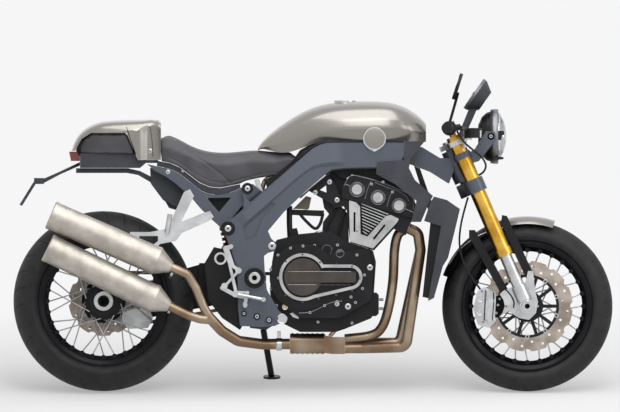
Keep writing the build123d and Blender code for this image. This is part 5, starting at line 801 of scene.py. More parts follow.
def tube(points, radius, sides=12):
    """A round tube along a path: ring k lies square to the path at point k, caps at both ends."""
    points = np.asarray(points, float)
    along = np.gradient(points, axis=0)
    along /= np.linalg.norm(along, axis=1, keepdims=True)
    least = np.eye(3)[np.argmin(np.abs(along).mean(axis=0))]
    side = least - (along @ least)[:, None] * along
    side /= np.linalg.norm(side, axis=1, keepdims=True)
    other = np.cross(along, side)
    angle = np.linspace(0, 2 * np.pi, sides, endpoint=False)[None, :, None]
    wide = np.broadcast_to(np.asarray(radius, float) / 1000, len(points))[:, None, None]
    rings = points[:, None] + wide * (np.cos(angle) * side[:, None] + np.sin(angle) * other[:, None])
    return rings.reshape(-1, 3), capped_grid(len(points), sides)


def pipe(rows, count, radius, sides=12):
    """A tube of `count` rings along the smooth curve through rows of column, row and out."""
    return tube(curve(rows, count), radius, sides)


def plate(outline, inner, outer, edge=1.0):
    """An outline of the side view carried from one distance out to another, with a bevelled rim."""
    flat = np.asarray(outline, float)
    following = np.roll(flat, -1, axis=0)
    if np.sum(flat[:, 0] * following[:, 1] - following[:, 0] * flat[:, 1]) > 0:
        flat = flat[::-1]
    before, after = flat - np.roll(flat, 1, axis=0), np.roll(flat, -1, axis=0) - flat
    turn = before / np.linalg.norm(before, axis=1, keepdims=True)
    turn = turn + after / np.linalg.norm(after, axis=1, keepdims=True)
    inward = np.stack([turn[:, 1], -turn[:, 0]], -1)
    inward /= np.linalg.norm(inward, axis=1, keepdims=True) + 1e-9
    way = 1 if outer > inner else -1
    steps = [(inner, 0.0), (outer - way * edge, 0.0), (outer, edge / (PIXEL * 1000))]
    layers = [np.column_stack([flat + inward * inset, np.full(len(flat), out)]) for out, inset in steps]
    faces = capped_grid(len(steps), len(flat))
    return spots(np.concatenate(layers)), faces if way > 0 else [face[::-1] for face in faces]


def circle(px, py, radius, count=24, start=0.0, sweep=360.0):
    """Points round a place of the side view, in pixels."""
    angle = np.radians(start + np.linspace(0, sweep, count, endpoint=sweep < 360))
    return [(px + radius * math.cos(a), py - radius * math.sin(a)) for a in angle]


def at_out(line, out):
    """Rows of a line of the side view at one distance out."""
    return [(px, py, out) for px, py in line]


def even_steps(line, count):
    """Distances along a line of `count` places evenly spaced on it, and of its own points."""
    steps = np.concatenate([[0], np.cumsum(np.linalg.norm(np.diff(line, axis=0), axis=1))])
    return np.linspace(0, steps[-1], count), steps


print("curves, tubes and plates ready")

# %% [markdown]
# ### Engine screws and rings
# The right side is what the eye rests on. Socket screws hold the clutch cover, its rim and the
# cases, and plugs sit in bored rings on the cam cover. Grey rings round the plugs and two on the
# case paint the highlights on the rims of their bores. They could be modelled one by one, but all
# are turned heads, so one profile is copied to a list of places and a ray seats each.

# %% Screws and rings of the engine
# Places and radii are in pixels of the side view.
RIM_SCREWS = [
    (286, 261.5), (302.5, 254.5), (320, 262.5), (336.5, 264.5), (352, 266.5), (359.7, 278.5),
    (285.5, 295), (302.5, 301.5), (318.5, 298.5), (336, 295), (352, 290.5),
]
RIM_SCREW_RADIUS = 1.05
CASE_SCREWS = [
    (278, 255), (290.5, 248), (303, 246), (314.5, 245.5), (337.5, 245), (357, 255), (270.5, 269.5),
    (271, 288.5), (276.5, 305.5), (362.5, 288.5), (351, 297), (355.5, 302.5), (324.5, 305.5),
    (310, 312.5), (337, 301.5), (364.5, 275), (278.6, 278), (371.5, 184), (383, 182), (392.5, 192),
    (357, 231), (390.5, 242), (318, 322), (352, 323),
]
CASE_SCREW_RADIUS = 1.5
CASE_BOLTS = [(370, 267.5, 2.0), (348, 306.5, 2.1), (337, 304, 1.6)]
CASE_RINGS = [(327, 250, 5.2), (340, 253.3, 4.2)]
CAM_PLUGS = [(357, 189.5, 7.6), (378, 197.5, 7.4), (399, 205.5, 7.2)]
SIGHT_GLASS = (285, 307)
SIGHT_RING_RADIUS, SIGHT_RADIUS = 2.9, 2.0


def sized(places, radius):
    """Rows of a list of places with one radius."""
    return [(px, py, radius) for px, py in places]


fasteners("clutch_rim_screws", sized(RIM_SCREWS, RIM_SCREW_RADIUS), SOCKET, lug_grey)
fasteners("case_screws", sized(CASE_SCREWS, CASE_SCREW_RADIUS), SOCKET, zinc)
fasteners("case_bolts", CASE_BOLTS, WASHERED, zinc)
# The case rings and cam plug rings are grey metal that paints highlights on the rims of their bores.
fasteners("case_rings", CASE_RINGS, THIN_RING, highlight_grey, sides=32)
fasteners("cam_plug_rings", CAM_PLUGS, PLUG_RING, highlight_grey, sides=40)
fasteners("sight_glass_ring", sized([SIGHT_GLASS], SIGHT_RING_RADIUS), RAISED_RING, zinc)
fasteners("sight_glass", sized([SIGHT_GLASS], SIGHT_RADIUS), BUTTON, sight_yellow)
print("engine screws", len(RIM_SCREWS) + len(CASE_SCREWS) + len(CASE_BOLTS))

# %% [markdown]
# ### Painted edge highlights
# Light catches the sharp edges of the black cam cover and case. A mask in the material could
# paint these highlights, but the edges are only a millimetre wide, so thin wires of grey metal
# are laid along them to paint them in.

# %% Painted highlights on the edges of the cam cover and the case
CAM_COVER_OUT = 124.4
CAM_EDGE_RADIUS = 1.6
CAM_EDGES = [
    [(344, 186), (347, 180), (352, 175.5), (362, 177), (380, 182), (397, 188.5), (409, 194),
     (414, 201), (413, 210)],
    [(345, 184), (351, 186.5)],
    [(371, 181), (368, 188), (365, 199)],
    [(375, 182.5), (389, 188), (398, 191), (406, 196), (409, 201)],
    [(392, 191), (389, 199), (387, 207)],
    [(403, 208), (414, 212.5)],
]
CASE_EDGE = [(299, 313), (309, 312.5), (318, 309), (330, 303), (342, 301)]
CASE_EDGE_OUT = 112
CASE_EDGE_RADIUS = 1.3

# Grey wires that paint the highlights along the edges of the cam cover and the case.
highlight_wire_parts = [pipe(at_out(line, CAM_COVER_OUT), 8 * len(line), CAM_EDGE_RADIUS, 8) for line in CAM_EDGES]
case_rows = [(px, py, surface_out("chassis", px, py) or CASE_EDGE_OUT) for px, py in CASE_EDGE]
highlight_wire_parts.append(pipe(case_rows, 30, CASE_EDGE_RADIUS, 8))
rigid("painted_highlight_wires", highlight_wire_parts, highlight_grey)
print("painted highlight wires", len(highlight_wire_parts))

# %% [markdown]
# ### Barrel fins and slots
# Between the arms of the vee trim the barrel shows ten cooling fins with machined edges, each
# shorter and steeper than the one above. The arms have a dark slot each.

# %% Fins between the arms of the vee trim
FIN_COUNT = 10
FIN_START, FIN_START_STEP = (361.3, 203.2), (0.15, 3.05)
FIN_END, FIN_END_STEP = (388.6, 213.8), (-2.35, 2.2)
FIN_INNER, FIN_OUTER, FIN_BEVEL = 95, 114, 0.8
FIN_END_CUT, FIN_START_DROP, FIN_END_DROP = 0.4, 1.15, 1.1
VEE_SLOTS = [
    [(353.6, 212), (355.6, 212), (355.6, 231.8), (353.6, 231.8)],
    [(371.8, 239), (383.8, 223.6), (385.9, 224.9), (373.6, 240.2)],
]
SLOT_INNER, SLOT_OUTER, SLOT_BEVEL = 119, 120.5, 0.3

fin_parts = []
for k in range(FIN_COUNT):
    x0, y0 = FIN_START[0] + FIN_START_STEP[0] * k, FIN_START[1] + FIN_START_STEP[1] * k
    x1, y1 = FIN_END[0] + FIN_END_STEP[0] * k, FIN_END[1] + FIN_END_STEP[1] * k
    fin = [(x0, y0), (x1, y1), (x1 - FIN_END_CUT, y1 + FIN_END_DROP), (x0, y0 + FIN_START_DROP)]
    fin_parts.append(plate(fin, FIN_INNER, FIN_OUTER, FIN_BEVEL))
rigid("barrel_fins", fin_parts, aluminium)
rigid("vee_slots", [plate(slot, SLOT_INNER, SLOT_OUTER, SLOT_BEVEL) for slot in VEE_SLOTS], hole_black)
print("fins", len(fin_parts), "slots", len(VEE_SLOTS))

# %% [markdown]
# ### Intake
# Behind the barrel the eye meets a tangle: throttle bodies, an air box and their hoses. The
# view shows only silhouettes there, so covers are outlines with a thickness and hoses are tubes
# on smooth curves, all in the black of the engine.

# %% Intake bodies, air box and hoses
# Covers: outline, inner and outer distance, bevel. Hoses: column, row and out; then the count
# of rings, the radius in millimetres and the sides.
INTAKE_COVERS = [
    ([(322, 197), (333, 199), (341, 206), (348, 214), (349, 243), (338, 241), (330, 236), (322, 234),
      (323, 222), (329, 214), (324, 208)], -60, 78, 2),
    ([(287.5, 251), (288.5, 229), (297, 228), (299, 236), (310, 237.5), (313, 246), (300, 252)], -50, 70, 2),
    ([(292, 209.5), (324, 210.5), (324, 216.5), (292, 215)], -55, 60, 2),
]
INTAKE_HOSES = [
    ([(289.5, 206, 62), (289.5, 224, 64), (290.5, 244, 60)], 16, 10, 16),
    ([(299, 213, 66), (306, 221, 68), (315, 228.5, 68), (320, 224, 66), (323, 214, 60)], 28, 5.5, 12),
    ([(345, 209, 84), (342, 222, 88), (337, 240, 84)], 16, 4.5, 12),
    ([(339, 203, 80), (334, 214, 86), (327, 228, 84), (330, 240, 78)], 24, 4, 12),
]
AIR_BOX = ([(293.5, 208.5), (306, 196), (311.5, 197.5), (308.5, 209.5)], -40, 74, 2)
AIR_BOX_RIM = ([(293, 208.6, 76), (301, 208.8, 76), (308, 209, 76), (309.8, 203, 76), (311, 197.5, 76)],
               24, 1.6, 8)

intake = [plate(*cover) for cover in INTAKE_COVERS] + [pipe(*hose) for hose in INTAKE_HOSES]
rigid("intake_bodies", intake, engine_black)
rigid("intake_box", [plate(*AIR_BOX)], box_brown)
rigid("intake_box_rim", [pipe(*AIR_BOX_RIM)], copper_pipe)
print("intake parts", len(intake))

# %% [markdown]
# ### Coolant, oil and clips
# A bright pipe carries coolant to the barrel, a box with a raised lid hides the oil filter, and
# two clips and an elbow close the bottom of the case. They are plates and tubes again, because
# each shows only its outline from the side.

# %% Coolant pipe, filter box, clips and elbow
COOLANT_PIPE = ([(311, 246, 66), (311.5, 240, 72), (315, 234.5, 78), (320, 232.5, 80), (326, 235, 80),
                 (334, 240, 74)], 40, 6.5, 18)
FILTER_BOX = ([(366, 292.5), (376.5, 292.5), (378.8, 295), (378.8, 313.5), (376, 316.2), (366, 316.2),
               (363.4, 313.5), (363.4, 295)], 20, 104, 2.5)
FILTER_LID = ([(366, 296), (376, 296), (376, 312.5), (366, 312.5)], 103, 106, 1.2)
OIL_FITTINGS = [([(379, row, 70), (383.5, row, 70)], 6, 5, 12) for row in (299.5, 308.5)]
CASE_CLIPS = [
    ([(289.5, 313.5), (292.5, 312.3), (299.5, 316.5), (298.5, 319), (293, 317.5)], 60, 116, 1),
    ([(337.5, 309.5), (340, 308.5), (344.5, 311.3), (343, 313), (338.5, 312.4)], 60, 114, 1),
]
DRAIN_ELBOW = ([(337.5, 320, 70), (337.8, 326, 74), (334.5, 331, 72), (330, 336, 60)], 24, 7, 16)

rigid("coolant_pipe", [pipe(*COOLANT_PIPE)], aluminium)
rigid("oil_filter_box", [plate(*FILTER_BOX), plate(*FILTER_LID)], engine_black)
rigid("oil_line_fittings", [pipe(*fitting) for fitting in OIL_FITTINGS], lug_grey)
rigid("case_clips", [plate(*clip) for clip in CASE_CLIPS], zinc)
rigid("drain_elbow", [pipe(*DRAIN_ELBOW)], copper_pipe)
print("engine fittings made")

# %% [markdown]
# ### Frame and chassis bolts
# The frame's own bolts are bright zinc in dark bores. A ring, a washer and a socket head are
# enough for the eye, because each is only a centimetre or two wide. Where a bore has no metal
# under the ray, the distance out is given.

# %% Frame bolts and bore rings
PIVOT = (254.5, 278)
SPAR_BORES = [(*PIVOT, 10.5, 152), (247.5, 188.5, 5.8), (228, 228.5, 7.2)]
PIVOT_NUT = [(*PIVOT, 5.8, 160)]
FRAME_BOLTS = [
    (247.5, 188.5, 1.9), (228, 228.5, 2.2), (168, 172, 1.5), (183, 171, 1.0), (272, 246, 2.6),
    (329.5, 182, 1.7), (315, 192.5, 1.7), (337, 200, 1.7),
]
LOWER_MOUNT = [(282, 319, 5.2)]
SWITCH_BALL = (245, 305.5, 150, 11.5)

fasteners("frame_bore_rings", SPAR_BORES, BORE_RING, bracket_black, sides=36)
fasteners("pivot_nut", PIVOT_NUT, NUT_RING, aluminium, sides=36)
fasteners("nut_bores", [(*PIVOT, 2.5, 160.4)], BORE_DISC, hole_black, sides=28)
fasteners("frame_bolts", FRAME_BOLTS, WASHERED, zinc)
fasteners("lower_mount_bolt", LOWER_MOUNT, RAISED_RING, zinc, sides=30)
rigid("stand_switch_ball", [heads([SWITCH_BALL], BALL, 20)], zinc)
print("frame bolts", len(FRAME_BOLTS))

# %% [markdown]
# ### Seat tab, breather and inner fender
# A bright tab holds the saddle's nose, a breather pipe loops behind it, and a grey inner fender
# closes the space over the rear wheel. All three are seen edge on, so plates and a tube do.

# %% Seat tab, breather pipe and inner fender
SEAT_TAB = ([(254.3, 180.2), (259, 179), (262.8, 190.4), (257.6, 192.2)], 84, 100, 1)
BREATHER = ([(262, 190, 70), (265, 181, 74), (272, 177, 76), (283, 177, 74), (290, 182, 66)], 30, 8, 16)
INNER_FENDER = ([(150, 168), (166, 168), (181, 176), (188, 186), (184, 200), (176, 208), (163, 200),
                 (151, 184)], -70, 70, 3)

rigid("seat_tab", [plate(*SEAT_TAB)], aluminium)
rigid("breather_pipe", [pipe(*BREATHER)], copper_pipe)
rigid("inner_fender", [plate(*INNER_FENDER)], panel_grey)
print("frame fittings made")

# %% [markdown]
# ### Headlamp
# The lamp is a black steel shell with a grey rim, a domed clear lens and a pressed reflector.
# Rim and reflector are turned parts, so each is one profile spun about the lamp's axis. They
# turn with the bars, so they ride on the steering body.

# %% Lamp rim, reflector, tabs and bolt
STEERING = "steering_gear"
FRONT_ROW = FLOOR_ROW - FRONT_HEIGHT / PIXEL
REAR_ROW = FLOOR_ROW - REAR_HEIGHT / PIXEL
FORWARD = np.array([1.0, 0.0, 0.0])
LAMP_FACE = spot(498, 136.5)
# Profiles are millimetres along the axis and millimetres of radius.
LAMP_RIM = [(-19, 92), (-19, 95.3), (-17, 96.6), (-3, 96.6), (0.5, 95.2), (1.5, 91), (0.2, 88.4)]
REFLECTOR = [(0.4, 85), (7.5, 82), (5.5, 55), (3, 26), (3, 20), (9, 18), (11, 8)]
LAMP_TABS = [
    ([(496.5, 130.5), (504, 131), (504.3, 134.6), (502, 135.2), (501.3, 140), (496.5, 140)], 84, 92, 1),
    ([(496.5, 156.5), (503.5, 157), (503.5, 159.3), (496.5, 159.8)], 62, 72, 1),
]
LAMP_BOLT = (491, 136.3)
LAMP_RING_RADIUS, LAMP_BOLT_RADIUS = 3.6, 1.9

rigid("lamp_rim_band", [lathe(LAMP_RIM, LAMP_FACE, FORWARD, 72)], lug_grey, STEERING)
rigid("lamp_reflector", [lathe(REFLECTOR, LAMP_FACE, FORWARD, 64)], lamp_chrome, STEERING)
rigid("lamp_tabs", [plate(*tab) for tab in LAMP_TABS], bracket_black, STEERING)
fasteners("lamp_bolt_ring", sized([LAMP_BOLT], LAMP_RING_RADIUS), FLAT_DISC, hole_black, STEERING)
fasteners("lamp_bolt", sized([LAMP_BOLT], LAMP_BOLT_RADIUS), SOCKET, zinc, STEERING)
print("lamp fittings made")

# %% [markdown]
# ### Instrument
# The dial sits in a turned bezel under smoked glass and faces the rider, tipped back by 35
# degrees. Its marks have no figures: small boxes on a circle, every third one longer, and a red
# needle on a hub. Printed marks could be a texture, but real boxes need no picture.

# %% Bezel, glass, marks and needle
DIAL_TILT = math.radians(35)
DIAL_FACE = spot(474, 93.5)
BEZEL = [(-9, 61), (-8, 62.8), (0, 62.8), (2.2, 61), (2.2, 57), (0.4, 55)]
DIAL_WINDOW = [(-1, 56), (0.9, 56), (1.4, 40), (1.7, 8)]
NEEDLE_HUB = [(1, 6), (4, 6), (4.6, 4)]
MARK_COUNT, MARK_SPAN = 27, 130
LONG_MARK, SHORT_MARK, MARK_WIDE, MARK_HIGH = 0.009, 0.005, 0.0014, 0.0008
MARK_REACH, MARK_LIFT = 0.047, 0.0023
NEEDLE_SIZE, NEEDLE_REACH, NEEDLE_LIFT, NEEDLE_MARK = (0.046, 0.002, 0.0008), 0.014, 0.0028, 9

dial_way = np.array([-math.cos(DIAL_TILT), 0.0, math.sin(DIAL_TILT)])
dial_side = np.array([0.0, 1.0, 0.0])
dial_up = np.cross(dial_way, dial_side)
rigid("dial_bezel", [lathe(BEZEL, DIAL_FACE, dial_way, 64)], lug_grey, STEERING)
rigid("dial_window", [lathe(DIAL_WINDOW, DIAL_FACE, dial_way, 48)], dial_glass, STEERING)


def blocks(centres, ways, ups, sizes):
    """Many small boxes: each has a centre, a way, an up and a (long, wide, high) size in metres.
    A corner is the centre plus half of each size, in either sign, along way, side and up."""
    centres, ways, ups = (np.atleast_2d(np.asarray(values, float)) for values in (centres, ways, ups))
    sides = np.cross(ups, ways)
    signs = np.array([(a, b, c) for a in (-1, 1) for b in (-1, 1) for c in (-1, 1)]) / 2
    sizes = np.broadcast_to(np.asarray(sizes, float), (len(centres), 3))
    shifts = [signs[None, :, k, None] * sizes[:, None, k, None] * axes[:, None]
              for k, axes in enumerate((ways, sides, ups))]
    points = centres[:, None] + sum(shifts)
    box = np.array([(0, 1, 3, 2), (4, 6, 7, 5), (0, 4, 5, 1), (2, 3, 7, 6), (0, 2, 6, 4), (1, 5, 7, 3)])
    faces = (box[None] + 8 * np.arange(len(centres))[:, None, None]).reshape(-1, 4)
    return points.reshape(-1, 3), faces.tolist()


sweep = np.radians(np.linspace(-MARK_SPAN, MARK_SPAN, MARK_COUNT))
spoke = np.cos(sweep)[:, None] * dial_up + np.sin(sweep)[:, None] * dial_side
long_ones = np.where(np.arange(MARK_COUNT) % 3 == 0, LONG_MARK, SHORT_MARK)
mark_sizes = np.column_stack([long_ones, np.full(MARK_COUNT, MARK_WIDE), np.full(MARK_COUNT, MARK_HIGH)])
mark_places = DIAL_FACE + dial_way * MARK_LIFT + spoke * MARK_REACH
marks = blocks(mark_places, spoke, np.broadcast_to(dial_way, spoke.shape), mark_sizes)
needle_way = spoke[NEEDLE_MARK]
needle_place = DIAL_FACE + dial_way * NEEDLE_LIFT + needle_way * NEEDLE_REACH
needle = blocks([needle_place], [needle_way], [dial_way], NEEDLE_SIZE)
rigid("dial_marks", [marks], dial_white, STEERING)
rigid("dial_needle", [needle, lathe(NEEDLE_HUB, DIAL_FACE, dial_way, 24)], cap_red, STEERING)
print("dial marks", MARK_COUNT)

# %% [markdown]
# ### Fluid cup
# The front brake's reservoir is a small cup of milky plastic with a black screw lid, on a stem
# from the master cylinder. Cup and lid are turned parts, and the stem is a tube.

# %% Reservoir cup, lid and stem
CUP_FOOT = spot(472.6, 138, 0.15)
UPWARD = np.array([0.0, 0.0, 1.0])
CUP = [(0, 27), (2, 31), (27, 32.5), (28, 31)]
CUP_LID = [(28, 32), (28, 34), (33, 34), (35, 31), (35.5, 10)]
CUP_STEM = ([(459, 143.5, 112), (464, 147, 128), (465, 142, 142), (467, 138, 150), (472, 138.3, 150)],
            30, 6, 14)

rigid("fluid_cup", [lathe(CUP, CUP_FOOT, UPWARD, 40)], fluid_white, STEERING)
rigid("fluid_cup_lid", [lathe(CUP_LID, CUP_FOOT, UPWARD, 40)], bracket_black, STEERING)
rigid("fluid_cup_stem", [pipe(*CUP_STEM)], fluid_white, STEERING)
print("fluid cup made")

# %% [markdown]
# ### Brake calipers
# The radial calipers sit on machined carriers. The window over the pads is dark, a bridge
# stands proud of the body, and screws, caps and a sensor lead finish the near side. The far
# side is never seen close, so only the near one has them.

# %% Caliper window, bridge, bolts and sensor lead
CALIPER_OUT, CARRIER_OUT = 84, 90
WINDOW_SPOT, BRIDGE_SPOT, LEAD_SPOT = (499, 305), (488.5, 305), (508, 300)
CALIPER_WINDOW = [
    (496, 296), (500, 294.5), (503.5, 300), (504.8, 306), (502.5, 313), (498.5, 318), (495, 317.5),
]
CALIPER_BRIDGE = [(486.8, 290.5), (493, 290), (493.6, 300), (491.5, 320), (484.5, 320.5), (485.2, 305)]
CALIPER_BOLTS = [
    (498, 305, 1.3), (496.5, 313, 1.2), (499.5, 299, 1.1), (506.3, 306.3, 1.7), (482, 291, 1.5),
    (483, 322, 1.6), (513.5, 307.2, 1.5),
]
SENSOR_LEAD = [(501.5, 286.5), (505, 289), (509, 293), (512.5, 298), (514, 303), (513.5, 307)]
PLATE_ROOT, WINDOW_PROUD, WINDOW_BEVEL, BRIDGE_PROUD, BRIDGE_BEVEL = 3, 0.8, 0.3, 5, 2
LEAD_LIFT, LEAD_RADIUS = 2, 2.6

window_out = surface_out(STEERING, *WINDOW_SPOT) or CALIPER_OUT
bridge_out = surface_out(STEERING, *BRIDGE_SPOT) or CALIPER_OUT
lead_out = (surface_out(STEERING, *LEAD_SPOT) or CARRIER_OUT) + LEAD_LIFT
window = plate(CALIPER_WINDOW, window_out - PLATE_ROOT, window_out + WINDOW_PROUD, WINDOW_BEVEL)
bridge = plate(CALIPER_BRIDGE, bridge_out - PLATE_ROOT, bridge_out + BRIDGE_PROUD, BRIDGE_BEVEL)
rigid("caliper_window", [window], hole_black, STEERING)
rigid("caliper_bridges", [bridge], aluminium, STEERING)
fasteners("caliper_bolts", CALIPER_BOLTS, SOCKET, zinc, STEERING)
rigid("sensor_lead", [pipe(at_out(SENSOR_LEAD, lead_out), 30, LEAD_RADIUS, 10)], bracket_black, STEERING)
print("caliper window at", round(window_out, 1), "bridge at", round(bridge_out, 1), "mm out")

# %% [markdown]
# ### Wheels
# Floating discs hang on buttons round the spider, ten to a disc, and the hub's nut and screws
# are bright. A wheel has many equal parts at even angles, so their places come from a circle
# and a count. All of these turn with their wheel, but the bore belongs to the fixed spindle.

# %% Disc buttons and hub screws
MM_PER_PIXEL = PIXEL * 1000
DISC_BUTTON_REACH, DISC_BUTTON_COUNT, DISC_BUTTON_OUT, DISC_BUTTON_RADIUS = 30.6, 10, 65.2, 2.2
HUB_SCREW_REACH, HUB_SCREW_COUNT, HUB_SCREW_OUT, HUB_SCREW_RADIUS = 10.5, 6, 66.2, 1.3
REAR_BUTTON_REACH, REAR_BUTTON_COUNT, REAR_BUTTON_OUT, REAR_BUTTON_RADIUS = 19, 6, -91.2, 2.1
FRONT_BUTTON_TURN, REAR_BUTTON_TURN = 18, 10
REAR_HUB_SPOT, REAR_HUB_OUT, REAR_HUB_RADIUS = (110.5, REAR_ROW), 70, 9.7
REAR_BORE_OUT, REAR_BORE_RADIUS = 88.4, 3.9


def ring_rows(px, py, reach, count, out, radius, start=0.0):
    """Rows round a wheel: places on a circle in pixels, at one distance out, radius in pixels."""
    return [(x, y, out, radius * MM_PER_PIXEL) for x, y in circle(px, py, reach, count, start)]


buttons = [
    heads(ring_rows(FRONT_COLUMN, FRONT_ROW, DISC_BUTTON_REACH, DISC_BUTTON_COUNT, side * DISC_BUTTON_OUT,
                    DISC_BUTTON_RADIUS, FRONT_BUTTON_TURN), DISC_BUTTON, 18, side) for side in (1, -1)
]
screws = [
    heads(ring_rows(FRONT_COLUMN, FRONT_ROW, HUB_SCREW_REACH, HUB_SCREW_COUNT, side * HUB_SCREW_OUT,
                    HUB_SCREW_RADIUS), SOCKET, 12, side) for side in (1, -1)
]
rear_buttons = ring_rows(REAR_COLUMN, REAR_ROW, REAR_BUTTON_REACH, REAR_BUTTON_COUNT, REAR_BUTTON_OUT,
                         REAR_BUTTON_RADIUS, REAR_BUTTON_TURN)
hub_out = surface_out("rear_wheel", *REAR_HUB_SPOT) or REAR_HUB_OUT
hub_row = (REAR_COLUMN, REAR_ROW, hub_out, REAR_HUB_RADIUS * MM_PER_PIXEL)
bore_row = (REAR_COLUMN, REAR_ROW, REAR_BORE_OUT, REAR_BORE_RADIUS * MM_PER_PIXEL)
rigid("front_disc_buttons", buttons + screws, zinc, "front_wheel")
rigid("rear_disc_buttons", [heads(rear_buttons, DISC_BUTTON, 18, -1)], zinc, "rear_wheel")
rigid("rear_hub_ring", [heads([hub_row], HUB_RING, 48)], aluminium, "rear_wheel")
rigid("rear_hub_bore", [heads([bore_row], BORE_DISC, 32)], hole_black)
print("rear hub ring at", round(hub_out, 1), "mm out")

# %% [markdown]
# ### Exhaust clamp, cowl strap and cover edges
# A stainless band clamps the slip joint of the exhaust. The cowl has a bolted strap panel with
# dark seams, and the clutch insert has two bright bar edges. A seam could be cut into the
# metal, but a thin wire laid on it by rays reads the same and leaves the CAD alone.

# %% Clamp, strap seams and bar edges
CLAMP_SPOT, CLAMP_OUT = (279, 344.2), 60
CLAMP_SINK, CLAMP_RADIUS, CLAMP_WIDTH = 20.6, 21.5, 20
CLAMP_LUG = [(277.2, 331), (280.8, 331), (280.8, 337.5), (277.2, 337.5)]
LUG_INNER, LUG_OUTER, LUG_BEVEL = 26, 14, 1
STRAP_BOLT = [(150, 151, 1.6)]
SEAM_LIFT = 0.2
FRONT_SEAM, FRONT_SEAM_RADIUS = [(126.5, 127), (131, 141), (136.5, 156.5)], 1.3
REAR_SEAM, REAR_SEAM_RADIUS = [(150, 126), (152, 140), (153, 157)], 1.0
BAR_EDGES, BAR_EDGE_RADIUS = [[(288, 271.6), (351, 271.6)], [(288, 284.8), (350, 284.8)]], 1.5


def sleeve(px, py, out, ahead, up, radius, width, sides=48):
    """A band round a pipe: its middle, the way of the pipe in the side view, radius and width."""
    way = np.array([ahead, 0.0, up]) / math.hypot(ahead, up)
    start = spot(px, py, out / 1000) - way * width / 2000
    rows = [(0, radius - 2), (0, radius), (0.6, radius + 0.8), (width - 0.6, radius + 0.8), (width, radius)]
    return lathe(rows + [(width, radius - 2)], start, way, sides)


def on_surface(line, count, body="chassis", lift=0.0):
    """Rows evenly spaced along a line of the side view, laid on a body's metal by rays."""
    line = np.asarray(line, float)
    where, steps = even_steps(line, count)
    xs, ys = np.interp(where, steps, line[:, 0]), np.interp(where, steps, line[:, 1])
    outs = [surface_out(body, x, y) for x, y in zip(xs, ys)]
    return [(x, y, out + lift) for x, y, out in zip(xs, ys, outs) if out is not None]


def laid_wire(line, count, radius, body="chassis", lift=0.0):
    """A thin wire on the metal under a line of the side view."""
    return tube(spots(on_surface(line, count, body, lift)), radius, 8)


clamp_out = surface_out("chassis", *CLAMP_SPOT) or CLAMP_OUT
band = sleeve(*CLAMP_SPOT, clamp_out - CLAMP_SINK, 1, 0, CLAMP_RADIUS, CLAMP_WIDTH)
lug = plate(CLAMP_LUG, clamp_out - LUG_INNER, clamp_out - LUG_OUTER, LUG_BEVEL)
rigid("joint_clamp", [band, lug], zinc)
fasteners("strap_bolt", STRAP_BOLT, WASHERED, zinc)
strap_seams = [laid_wire(FRONT_SEAM, 18, FRONT_SEAM_RADIUS, lift=SEAM_LIFT)]
strap_seams.append(laid_wire(REAR_SEAM, 14, REAR_SEAM_RADIUS, lift=SEAM_LIFT))
rigid("strap_seams", strap_seams, hole_black)
rigid("insert_bar_edges", [laid_wire(edge, 12, BAR_EDGE_RADIUS) for edge in BAR_EDGES], lug_grey)
print("exhaust clamp at", round(clamp_out, 1), "mm out")

# %% [markdown]
# ### Two finishes on one casting
# Some CAD pieces carry two finishes on the real machine, such as the mudguard with its black
# stays. The piece could be cut in two, but the faces can just as well be sorted by place, and
# the second finish given to one group.

# %% Second finish of the mudguard
GUARD_HALF, GUARD_BREAK = 67, 506
GUARD_EDGE = [(508, 226.8), (495, 229.5), (480, 235), (468, 242.5), (457, 252), (449, 264)]
GUARD_EDGE_OUT, GUARD_EDGE_RADIUS = 65.5, 2.2


def second_finish(name, material, chosen):
    """Give a node's faces a second material where `chosen` says so, from the columns, rows and
    distances out, in millimetres, of their centres in the side view."""
    mesh = nodes[name].data
    mesh.materials.append(material)
    centres = np.empty(len(mesh.polygons) * 3)
    mesh.polygons.foreach_get("center", centres)
    columns, rows, outs = side_view(centres.reshape(-1, 3))
    picked = np.asarray(chosen(columns, rows, outs * 1000), int)
    mesh.polygons.foreach_set("material_index", picked * (len(mesh.materials) - 1))
    mesh.update()
    print(name, int(picked.sum()), "faces in the second finish")


second_finish("front_mudguard", bracket_black,
              lambda px, py, out: (np.abs(out) > GUARD_HALF) | (px < GUARD_BREAK))
guard_edges = [pipe(at_out(GUARD_EDGE, out), 40, GUARD_EDGE_RADIUS, 8)
               for out in (GUARD_EDGE_OUT, -GUARD_EDGE_OUT)]
rigid("mudguard_edge", guard_edges, tank_paint, STEERING)

# %% [markdown]
# ### Front axle and caliper details
# The axle ends in a ring nut round its dark bore, the caliper halves meet in two grooves, and
# round caps close the piston bores. Rings and wires laid on the metal show all of them.

# %% Axle ring, grooves and piston caps
AXLE_SPOT, AXLE_FACE_OUT = (533.5, FRONT_ROW), 128
AXLE_RING_RADIUS, AXLE_HOLE_RADIUS, AXLE_HOLE_SINK = 21, 10.4, 2
CALIPER_GROOVES = [
    [(485.4, 290), (484.8, 305), (484, 320.5)],
    [(493.6, 290), (494, 300), (492.2, 320.5)],
]
GROOVE_RADIUS, GROOVE_LIFT = 1.7, 0.4
PISTON_CAPS = [(480.2, 299, 3.2), (479.6, 312.5, 3.2)]

axle_out = surface_out(STEERING, *AXLE_SPOT) or AXLE_FACE_OUT
ring_row = (FRONT_COLUMN, FRONT_ROW, axle_out, AXLE_RING_RADIUS)
hole_row = (FRONT_COLUMN, FRONT_ROW, axle_out - AXLE_HOLE_SINK, AXLE_HOLE_RADIUS)
rigid("axle_nut_ring", [heads([ring_row], AXLE_RING, 32)], zinc, STEERING)
rigid("axle_hole", [heads([hole_row], AXLE_BORE, 24)], hole_black, STEERING)
grooves = [laid_wire(line, 14, GROOVE_RADIUS, STEERING, GROOVE_LIFT) for line in CALIPER_GROOVES]
rigid("caliper_grooves", grooves, hole_black, STEERING)
fasteners("caliper_caps", PISTON_CAPS, RAISED_RING, zinc, STEERING, sides=28)
print("front axle face at", round(axle_out, 1), "mm out")

